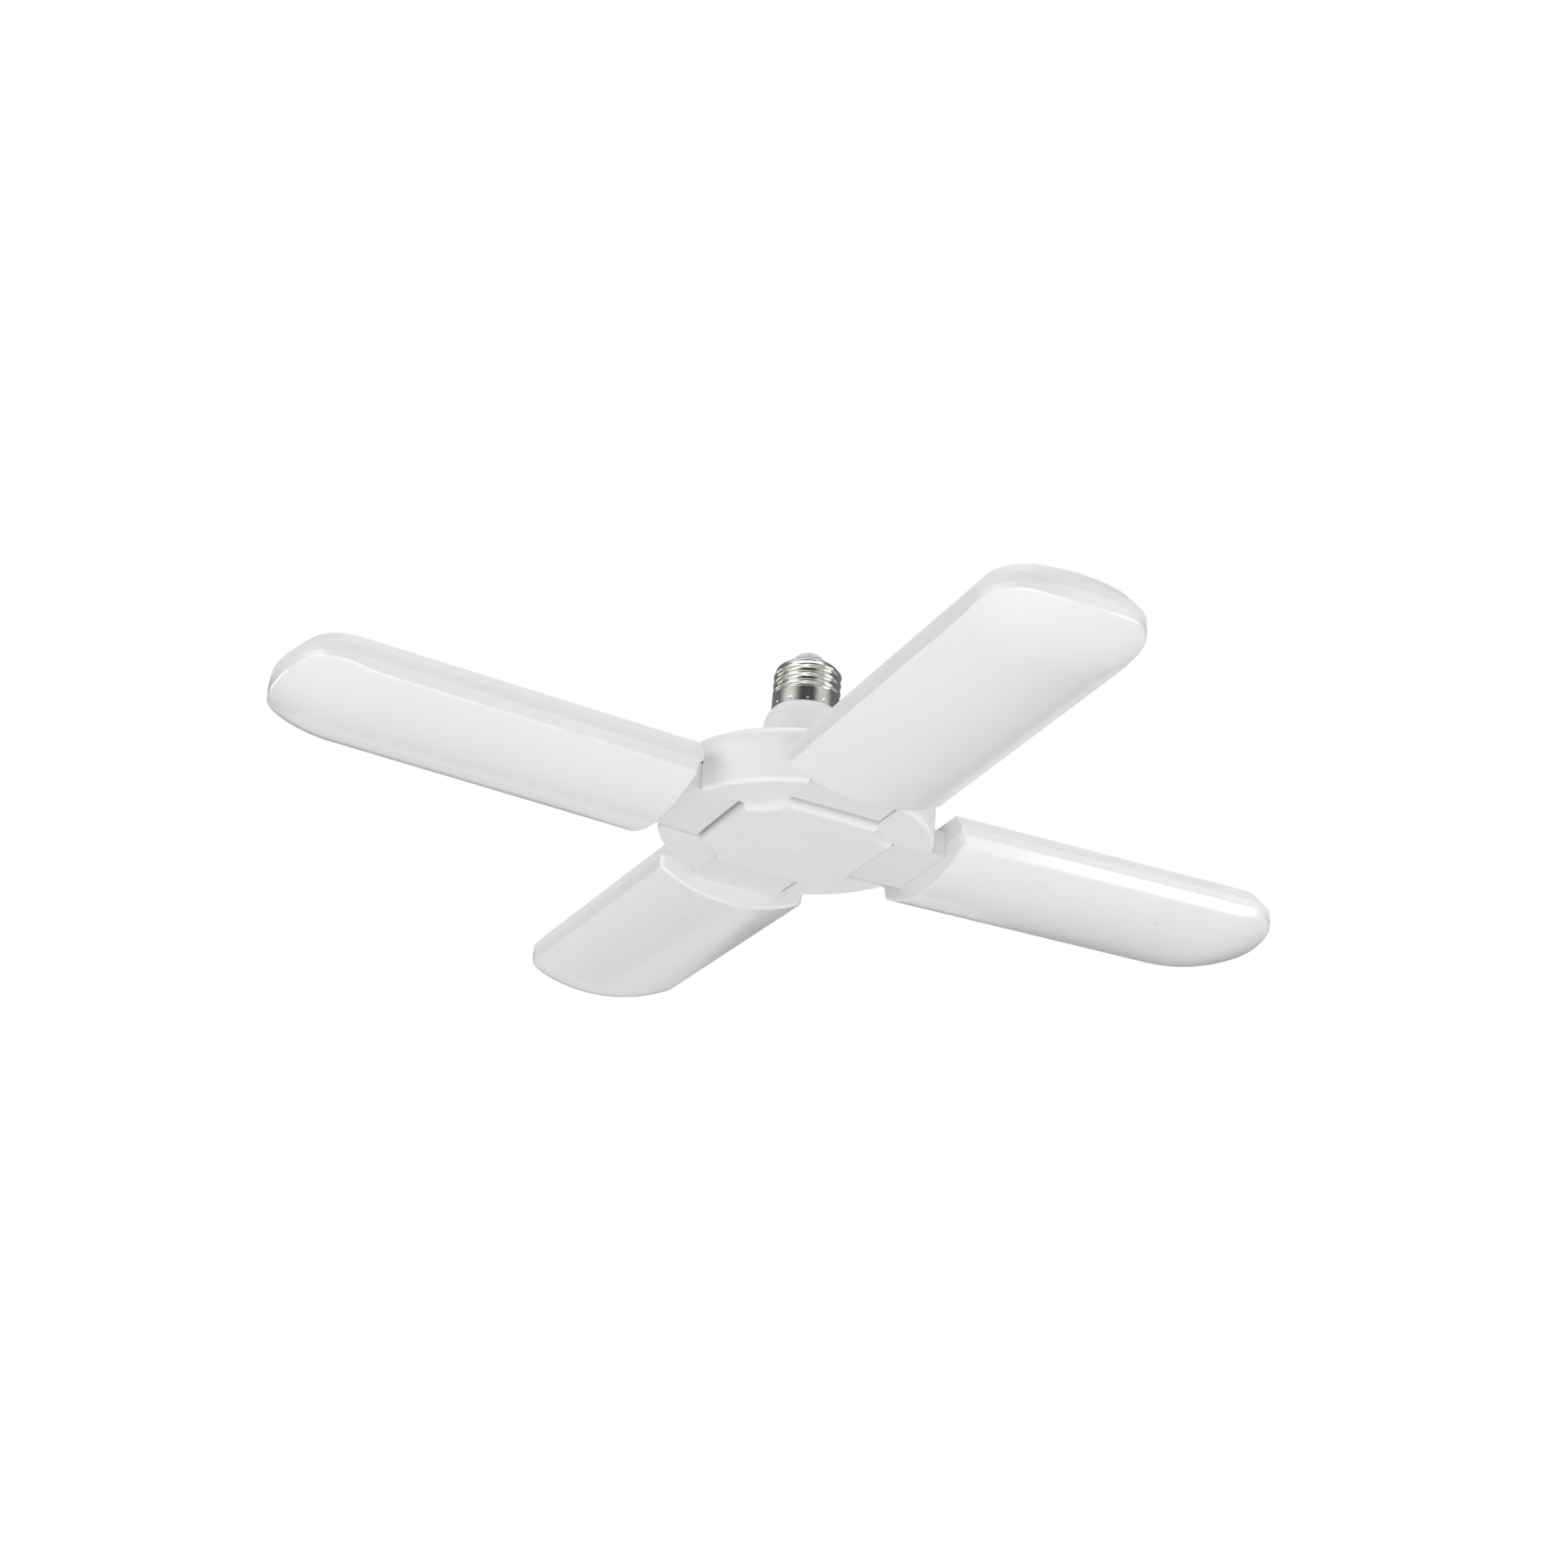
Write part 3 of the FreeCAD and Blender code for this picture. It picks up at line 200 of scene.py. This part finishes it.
# plated or bare metal: drawn lines round or along it, dull patches and fine scratches
metalDetail = {"shine": 0.5, "fineness": 0.6, "patchShare": 0.6, "patchLow": 0.35, "noiseLow": 0.3,
               "noiseHigh": 0.7, "glossiest": 0.7, "dullest": 1.5, "scratchDepth": 0.1 * mm}


def metalFinish(name, look):
    detail = metalDetail
    made = Finish(name, {"Specular IOR Level": detail["shine"]})
    patch = made.noise(look["patchScale"], 5, detail["fineness"])
    line = made.noise(look["lineScale"], 3, detail["fineness"], look["squeeze"])
    tone = made.spread(patch, 0.0, 1.0, detail["patchLow"], detail["noiseHigh"])
    color = made.blend(tone, look["light"], look["dark"])
    mixed = patch * detail["patchShare"] + line * (1 - detail["patchShare"])
    rough = made.spread(mixed, look["rough"] * detail["glossiest"], look["rough"] * detail["dullest"],
                        detail["noiseLow"], detail["noiseHigh"])
    scratch = made.bump(line, look["scratch"], detail["scratchDepth"])
    return made.set(color=color, roughness=rough, normal=scratch, metal=look["metal"])


# a printed board: lacquer over copper tracks, which stand slightly proud, with bare pads
boardDetail = {"shine": 0.5, "coat": 0.4, "coatRough": 0.18, "padScale": 1.6, "padReach": 0.13,
               "roughSwing": 0.08, "trackRise": 0.6, "clothRise": 0.2, "relief": 0.3, "reliefDepth": 0.1 * mm}


def boardFinish(name, look):
    detail = boardDetail
    made = Finish(name, {"Specular IOR Level": detail["shine"], "Coat Weight": detail["coat"],
                         "Coat Roughness": detail["coatRough"]})
    cells = made.node("ShaderNodeTexVoronoi", {"distance": "CHEBYCHEV", "feature": "DISTANCE_TO_EDGE"},
                      {"Vector": made.place(), "Scale": look["trackScale"]}, "Distance")
    track = cells > look["trackGap"]
    pad = made.specks(look["trackScale"] * detail["padScale"], detail["padReach"])
    lacquer = made.blend(track, look["dark"], look["light"])
    color = made.blend(pad, lacquer, look["pad"])
    cloth = made.noise(look["clothScale"], 2)
    rough = made.spread(cloth, look["rough"] - detail["roughSwing"], look["rough"] + detail["roughSwing"])
    rise = track * detail["trackRise"] + cloth * detail["clothRise"]
    relief = made.bump(rise, detail["relief"], detail["reliefDepth"])
    return made.set(color=color, roughness=rough, normal=relief)


# enamelled wire wound round the choke's upright axis, its colour painted lighter on each turn's crest and
# darker in the grooves between turns: painted highlight and painted shade
wireDetail = {"shine": 0.6, "coat": 0.6, "coatRough": 0.12, "paintedCrestShare": 0.5, "roughLow": 0.22,
              "roughHigh": 0.42, "relief": 0.6, "reliefDepth": 0.2 * mm}


def wireFinish(name, look):
    detail = wireDetail
    made = Finish(name, {"Specular IOR Level": detail["shine"], "Coat Weight": detail["coat"],
                         "Coat Roughness": detail["coatRough"]})
    turns = made.height() * (fullTurn / look["pitch"])
    wave = made.node("ShaderNodeMath", {"operation": "SINE"}, {0: turns})
    wireTop = made.spread(wave, 0.0, 1.0, -1.0, 1.0)
    tint = made.noise(look["tintScale"], 4)
    # painted light: this share of the tone makes each turn's crest lighter and the groove between turns
    # darker
    tone = wireTop * detail["paintedCrestShare"] + tint * (1 - detail["paintedCrestShare"])
    color = made.blend(tone, look["dark"], look["light"])
    rough = made.spread(tint, detail["roughLow"], detail["roughHigh"])
    relief = made.bump(wireTop, detail["relief"], detail["reliefDepth"])
    return made.set(color=color, roughness=rough, normal=relief)


# the finish of each slot of the record
housingLook = {"shine": 0.42, "cloudScale": 30.0, "flow": (1, 1, 3), "grainScale": 2600.0, "rough": 0.44,
               "wave": 0.05, "grain": 0.12, "dark": (0.83, 0.83, 0.835), "light": (0.875, 0.875, 0.875),
               "dust": (0.62, 0.61, 0.59)}
trayLook = {"shine": 0.36, "cloudScale": 22.0, "flow": (1, 1, 4), "grainScale": 3200.0, "rough": 0.52,
            "wave": 0.04, "grain": 0.15, "dark": (0.80, 0.80, 0.81), "light": (0.85, 0.85, 0.855),
            "dust": (0.60, 0.60, 0.59)}
diffuserLook = {"shine": 0.5, "cloudScale": 11.0, "grainScale": 900.0, "rough": 0.33, "wave": 0.03,
                "grain": 0.02, "coat": 0.8, "coatRough": 0.14, "dark": (0.865, 0.866, 0.866),
                "light": (0.90, 0.90, 0.896), "dust": (0.70, 0.69, 0.68), "dustScale": 70.0}
insulationLook = {"shine": 0.4, "cloudScale": 140.0, "grainScale": 4200.0, "rough": 0.48, "wave": 0.08,
                  "grain": 0.16, "dark": (0.72, 0.72, 0.71), "light": (0.79, 0.79, 0.78),
                  "dust": (0.5, 0.5, 0.48), "dustScale": 260.0}
washerLook = {"shine": 0.4, "cloudScale": 260.0, "grainScale": 5200.0, "rough": 0.4, "wave": 0.05,
              "grain": 0.1, "dark": (0.76, 0.75, 0.70), "light": (0.84, 0.83, 0.79), "dust": (0.4, 0.4, 0.38)}
caseLook = {"shine": 0.4, "cloudScale": 180.0, "grainScale": 4800.0, "rough": 0.55, "wave": 0.1, "grain": 0.3,
            "dark": (0.018, 0.018, 0.02), "light": (0.04, 0.04, 0.043), "dust": (0.2, 0.2, 0.2)}
filmLook = {"shine": 0.55, "cloudScale": 120.0, "grainScale": 3000.0, "rough": 0.3, "wave": 0.12,
            "grain": 0.05, "coat": 0.4, "coatRough": 0.2, "dark": (0.42, 0.30, 0.06),
            "light": (0.60, 0.43, 0.08), "dust": (0.3, 0.2, 0.05)}
chipLook = {"shine": 0.6, "cloudScale": 500.0, "grainScale": 6000.0, "rough": 0.28, "wave": 0.06,
            "grain": 0.05, "coat": 0.6, "coatRough": 0.08, "dark": (0.78, 0.60, 0.14),
            "light": (0.88, 0.72, 0.22), "dust": (0.7, 0.6, 0.2)}
nickelLook = {"patchScale": 120.0, "lineScale": 420.0, "squeeze": (1, 1, 9), "rough": 0.17, "scratch": 0.006,
              "metal": 1.0, "light": (0.70, 0.69, 0.67), "dark": (0.55, 0.54, 0.52)}
contactLook = {"patchScale": 400.0, "lineScale": 900.0, "squeeze": (1, 1, 1), "rough": 0.36, "scratch": 0.12,
               "metal": 0.45, "light": (0.80, 0.80, 0.79), "dark": (0.66, 0.66, 0.65)}
steelLook = {"patchScale": 500.0, "lineScale": 1500.0, "squeeze": (1, 1, 4), "rough": 0.26, "scratch": 0.1,
             "metal": 1.0, "light": (0.62, 0.62, 0.61), "dark": (0.42, 0.42, 0.41)}
pinLook = {"patchScale": 300.0, "lineScale": 1200.0, "squeeze": (1, 1, 1), "rough": 0.2, "scratch": 0.08,
           "metal": 1.0, "light": (0.66, 0.66, 0.66), "dark": (0.5, 0.5, 0.5)}
canLook = {"patchScale": 260.0, "lineScale": 700.0, "squeeze": (1, 1, 6), "rough": 0.34, "scratch": 0.06,
           "metal": 0.1, "light": (0.035, 0.04, 0.06), "dark": (0.02, 0.022, 0.03)}
driverBoardLook = {"trackScale": 210.0, "trackGap": 0.09, "clothScale": 1800.0, "rough": 0.38,
                   "dark": (0.01, 0.085, 0.03), "light": (0.02, 0.15, 0.055), "pad": (0.62, 0.60, 0.55)}
ledBoardLook = {"trackScale": 90.0, "trackGap": 0.03, "clothScale": 1500.0, "rough": 0.42,
                "dark": (0.74, 0.74, 0.73), "light": (0.86, 0.86, 0.85), "pad": (0.80, 0.77, 0.68)}
chokeLook = {"pitch": 0.42 * mm, "tintScale": 600.0, "dark": (0.24, 0.07, 0.02), "light": (0.60, 0.24, 0.07)}
finishes = {
    "housing": plasticFinish("housingWhite", housingLook),
    "blade_tray": plasticFinish("trayWhite", trayLook),
    "diffuser": plasticFinish("diffuserMilk", diffuserLook),
    "cap_insulation": plasticFinish("capInsulation", insulationLook),
    "washer": plasticFinish("washerNylon", washerLook),
    "component_case": plasticFinish("componentBlack", caseLook),
    "film_case": plasticFinish("filmCaseYellow", filmLook),
    "led_chip": plasticFinish("chipPhosphor", chipLook),
    "cap_metal": metalFinish("capNickel", nickelLook),
    "contact_metal": metalFinish("contactTin", contactLook),
    "screw_steel": metalFinish("screwSteel", steelLook),
    "pin_steel": metalFinish("pinSteel", pinLook),
    "capacitor_can": metalFinish("capacitorSleeve", canLook),
    "circuit_board": boardFinish("driverLacquer", driverBoardLook),
    "led_board": boardFinish("ledBoardWhite", ledBoardLook),
    "choke": wireFinish("chokeWire", chokeLook),
}
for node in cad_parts.values():
    slotName = node.material_slots[0].material.name.split(".")[0]
    node.material_slots[0].material = finishes[slotName]
print("finishes set on", len(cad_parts), "pieces")


# the pieces to work on, and nothing else
def choose(*pieces):
    bpy.ops.object.select_all(action="DESELECT")
    for piece in pieces:
        piece.select_set(True)
    bpy.context.view_layer.objects.active = pieces[0]


# edit mode with only the edges or faces that pass the test selected
def pick(piece, kind, test):
    choose(piece)
    bpy.ops.object.mode_set(mode="EDIT")
    bpy.ops.mesh.select_mode(type=kind)
    bpy.ops.mesh.select_all(action="DESELECT")
    bpy.ops.object.mode_set(mode="OBJECT")
    for item in {"EDGE": piece.data.edges, "FACE": piece.data.polygons}[kind]:
        item.select = test(item)
    bpy.ops.object.mode_set(mode="EDIT")


def endEdit():
    bpy.ops.object.mode_set(mode="OBJECT")


def applyPlace():
    bpy.ops.object.transform_apply(location=True, rotation=True, scale=True)


# adds a modifier and applies it, so that the shape is in the mesh
def settle(piece, kind, settings):
    modifier = piece.modifiers.new(kind, kind)
    for name, value in settings.items():
        setattr(modifier, name, value)
    choose(piece)
    bpy.ops.object.modifier_apply(modifier=modifier.name)


# the last steps for a new piece: its name, finish, body and the node that it stands for
creaseAngle = math.radians(35)


def finishPiece(piece, name, slotName, body, node):
    choose(piece)
    applyPlace()
    bpy.ops.object.shade_smooth_by_angle(angle=creaseAngle)
    piece.name = name
    piece.data.name = name
    piece.data.materials.clear()
    piece.data.materials.append(finishes[slotName])
    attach(piece, body)
    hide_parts(node)
    print(name, "made with", len(piece.data.polygons), "faces")


# the screw cap: one rolled thread that climbs to the right, and a skirt pricked on to the neck
shellShape = {"around": 192, "cuts": 139, "radius": 13.2 * mm, "foot": 0.02 * mm, "skirtTop": 6.1 * mm,
              "threadTop": 17.3 * mm, "shoulder": 5.3 * mm, "mouth": 6.2 * mm, "taperCurve": 1.2,
              "depth": 0.95 * mm, "pitch": 3.6 * mm, "crest": 9.95 * mm, "runIn": 1.3 * mm,
              "wall": 0.35 * mm, "pricks": 12,
              "prickUp": 1.25 * mm, "prickWide": 0.55 * mm, "prickDeep": 0.45 * mm, "firstPrick": 0.12,
              "straightShare": 0.84}  # how much of the rings the skirt and thread get


def smoothStep(value):
    value = min(max(value, 0.0), 1.0)
    return value * value * (3 - 2 * value)


# height and radius before the thread: share runs from the skirt's foot (0) to the cap's mouth (1)
def shellProfile(share):
    shape = shellShape
    straight = shape["straightShare"]
    if share < straight:
        return shape["foot"] + (shape["threadTop"] - shape["foot"]) * share / straight, shape["radius"]
    taper = (share - straight) / (1 - straight)
    narrowing = (shape["mouth"] - shape["radius"]) * taper ** shape["taperCurve"]
    return shape["threadTop"] + shape["shoulder"] * taper, shape["radius"] + narrowing


# how deep the thread's groove is, which fades out into the skirt and the shoulder
def grooveDepth(height, angle):
    shape = shellShape
    climb = (height - shape["crest"]) / shape["pitch"] - angle / fullTurn
    fade = smoothStep((height - shape["skirtTop"]) / shape["runIn"])
    fade *= smoothStep((shape["threadTop"] + shape["runIn"] - height) / shape["runIn"])
    return shape["depth"] * (1 - math.cos(fullTurn * climb)) / 2 * fade


# how deep the nearest prick of the skirt is, a round dent with soft sides
def prickDepth(height, angle):
    shape = shellShape
    step = fullTurn / shape["pricks"]
    off = ((angle - shape["firstPrick"] + step / 2) % step - step / 2) * shape["radius"]
    away = (off * off + (height - shape["prickUp"]) ** 2) / shape["prickWide"] ** 2
    return shape["prickDeep"] * math.exp(-away * 2)


def shellPoint(share, angle):
    height, radius = shellProfile(share)
    radius -= grooveDepth(height, angle)
    radius -= prickDepth(height, angle)
    return Vector((radius * math.cos(angle), radius * math.sin(angle), height))


def makeScrewShell():
    bpy.ops.object.select_all(action="DESELECT")
    bpy.ops.mesh.primitive_cylinder_add(vertices=shellShape["around"], radius=shellShape["radius"], depth=1.0,
                                        end_fill_type="NOTHING", location=(0, 0, 0.5))
    shell = bpy.context.object
    applyPlace()
    points = shell.data.vertices
    pick(shell, "EDGE", lambda edge: points[edge.vertices[0]].co.z != points[edge.vertices[1]].co.z)
    bpy.ops.mesh.subdivide(number_cuts=shellShape["cuts"])
    endEdit()
    for point in shell.data.vertices:
        point.co = shellPoint(point.co.z, math.atan2(point.co.y, point.co.x) % fullTurn)
    settle(shell, "SOLIDIFY", {"thickness": shellShape["wall"], "offset": -1.0})
    finishPiece(shell, "screwShell", "cap_metal", "hub", "screw_shell")


makeScrewShell()


# the housing screws: pan heads with a cross recess, sunk in the hub's top
screwShape = {"count": 4, "circle": 40 * mm, "around": 40, "head": 2.8 * mm, "tall": 1.6 * mm,
              "bevel": 0.7 * mm, "bevelSteps": 5, "shank": 1.45 * mm, "slotWide": 0.75 * mm,
              "slotLong": 3.0 * mm, "slotDeep": 0.9 * mm, "slotTurn": 0.3}


# one slot of the cross: the cutter's upper half stands above the head
def cutSlot(screw, top, turn):
    bpy.ops.object.select_all(action="DESELECT")
    bpy.ops.mesh.primitive_cube_add(size=1, rotation=(0, 0, turn), location=top)
    cutter = bpy.context.object
    cutter.scale = (screwShape["slotLong"], screwShape["slotWide"], screwShape["slotDeep"] * 2)
    applyPlace()
    settle(screw, "BOOLEAN", {"object": cutter, "operation": "DIFFERENCE", "solver": "EXACT"})
    bpy.data.objects.remove(cutter)


def makeScrew(angle, foot, crown):
    shape = screwShape
    seat = crown - shape["tall"]
    spot = Vector((shape["circle"] * math.cos(angle), shape["circle"] * math.sin(angle), 0))
    bpy.ops.object.select_all(action="DESELECT")
    bpy.ops.mesh.primitive_cylinder_add(vertices=shape["around"], radius=shape["head"], depth=shape["tall"],
                                        location=spot + Vector((0, 0, seat + shape["tall"] / 2)))
    screw = bpy.context.object
    applyPlace()
    middle = seat + shape["tall"] / 2
    pick(screw, "EDGE", lambda edge: all(screw.data.vertices[row].co.z > middle for row in edge.vertices))
    bpy.ops.mesh.bevel(offset=shape["bevel"], segments=shape["bevelSteps"])
    endEdit()
    pick(screw, "FACE", lambda face: face.normal.z < -0.9)  # the underside
    bpy.ops.mesh.inset(thickness=shape["head"] - shape["shank"])
    bpy.ops.mesh.extrude_region_move(TRANSFORM_OT_translate={"value": (0, 0, foot - seat)})
    endEdit()
    for turn in (shape["slotTurn"], shape["slotTurn"] + math.pi / 2):
        cutSlot(screw, spot + Vector((0, 0, crown)), angle + turn)
    return screw


def makeHousingScrews():
    low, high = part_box("housing_screws")
    step = fullTurn / screwShape["count"]
    screws = [makeScrew(step / 2 + step * row, low[2], high[2]) for row in range(screwShape["count"])]
    choose(*screws)
    bpy.ops.object.join()
    finishPiece(screws[0], "housingScrews", "screw_steel", "hub", "housing_screws")


makeHousingScrews()


# the studio: a plain pale floor far below the lamp, and soft lamps that all face it
floorPaper = {"size": 12.0, "drop": -1.25, "cloudScale": 3.0, "detail": 3.0, "dark": (0.80, 0.80, 0.80),
              "light": (0.84, 0.84, 0.84), "rough": 0.8}
studioLamps = {  # place, width and height, and power in watts
    "leftLamp": ((-2.4, -0.6, 0.3), (1.4, 1.0), 10.4),
    "lowLamp": ((-0.2, -0.6, -1.15), (1.0, 1.0), 5.9),
    "lowLeftLamp": ((-1.6, -0.8, -0.8), (1.0, 0.8), 4.1),
    "lowRightLamp": ((1.5, -1.2, -0.8), (1.0, 0.8), 2.9),
    "nearLamp": ((-0.35, -0.95, -0.6), (0.4, 0.4), 1.1),
    "topLamp": ((0.0, 0.2, 1.8), (1.4, 1.4), 16.7),
    "backLamp": ((0.5, 2.2, -0.3), (1.4, 1.0), 2.0),
    "rightEdgeLamp": ((0.5, -0.45, 0.05), (0.3, 0.2), 1.1),
    "farEdgeLamp": ((-0.5, 0.45, 0.05), (0.3, 0.2), 0.5),
}


def makeFloor():
    bpy.ops.object.select_all(action="DESELECT")
    bpy.ops.mesh.primitive_plane_add(size=floorPaper["size"], location=(0, 0, floorPaper["drop"]))
    floor = bpy.context.object
    floor.name = "studioFloor"
    paper = Finish("floorPaper", {})
    cloud = paper.noise(floorPaper["cloudScale"], floorPaper["detail"])
    color = paper.blend(cloud, floorPaper["dark"], floorPaper["light"])
    floor.data.materials.append(paper.set(color=color, roughness=floorPaper["rough"]))


def makeLamp(name, place, size, power):
    lamp = bpy.data.lights.new(name, "AREA")
    lamp.shape = "RECTANGLE"
    lamp.size, lamp.size_y = size
    lamp.energy = power
    stand = bpy.data.objects.new(name, lamp)
    stand.location = place
    stand.rotation_euler = (-Vector(place)).to_track_quat("-Z", "Y").to_euler()
    bpy.context.scene.collection.objects.link(stand)


makeFloor()
for lampName, (lampPlace, lampSize, lampPower) in studioLamps.items():
    makeLamp(lampName, lampPlace, lampSize, lampPower)


# the air: white to the camera, soft on the lamp, and bright and dark walls for what is polished
studioAir = {"backdrop": 1.0, "soft": 0.56, "walls": 1.1, "front": -115.4, "lowEdge": -0.25, "lowBlur": 0.1,
             "highEdge": 0.95, "highBlur": 0.04, "beyond": 0.10}
# degrees from the camera's side, and how bright the wall is there
wallTones = ((-180, 0.22), (-100, 0.16), (-72, 0.8), (-48, 0.8), (-22, 0.08), (24, 0.08), (46, 0.8),
             (68, 0.8), (92, 0.16), (180, 0.22))


# 0 below a height and 1 above it, with a soft edge, or the other way round where the blur is negative
def softEdge(air, height, edge, blur):
    return air.node("ShaderNodeMapRange", {"interpolation_type": "SMOOTHSTEP"},
                    {"Value": height, "From Min": edge - blur, "From Max": edge + blur})


def makeWalls(air):
    view = air.node("ShaderNodeTexCoord", output="Generated")
    turned = air.node("ShaderNodeVectorRotate", {"rotation_type": "Z_AXIS"},
                      {"Vector": view, "Angle": -math.radians(studioAir["front"])})
    across, deep, height = [air.node("ShaderNodeSeparateXYZ", {}, {0: turned}, axis) for axis in "XYZ"]
    angle = air.node("ShaderNodeMath", {"operation": "ARCTAN2"}, {0: deep, 1: across})
    share = air.node("ShaderNodeMapRange", {}, {"Value": angle, "From Min": -math.pi, "From Max": math.pi})
    stops = [(turn / 360 + 0.5, tone) for turn, tone in wallTones]
    wall = air.node("ShaderNodeValToRGB", {"stops": stops}, {0: share})
    above = softEdge(air, height, studioAir["lowEdge"], studioAir["lowBlur"])
    below = softEdge(air, height, studioAir["highEdge"], -studioAir["highBlur"])
    return air.blend(above * below, [studioAir["beyond"]] * 3, wall)


def makeAir():
    world = bpy.data.worlds.new("studioAir")
    air = Net(world)
    backdrop = air.node("ShaderNodeBackground", {}, {"Color": (1, 1, 1, 1),
                                                     "Strength": studioAir["backdrop"]})
    soft = air.node("ShaderNodeBackground", {}, {"Strength": studioAir["soft"]})
    walls = air.node("ShaderNodeBackground", {}, {"Color": makeWalls(air), "Strength": studioAir["walls"]})
    glossy = air.node("ShaderNodeLightPath", output="Is Glossy Ray")
    seen = air.node("ShaderNodeLightPath", output="Is Camera Ray")
    polished = air.node("ShaderNodeMixShader", {}, {0: glossy, 1: soft, 2: walls})
    either = air.node("ShaderNodeMixShader", {}, {0: seen, 1: polished, 2: backdrop})
    air.node("ShaderNodeOutputWorld", {}, {"Surface": either})
    return world


bpy.context.scene.world = makeAir()
bpy.context.scene.view_settings.view_transform = "Standard"
print("studio set")
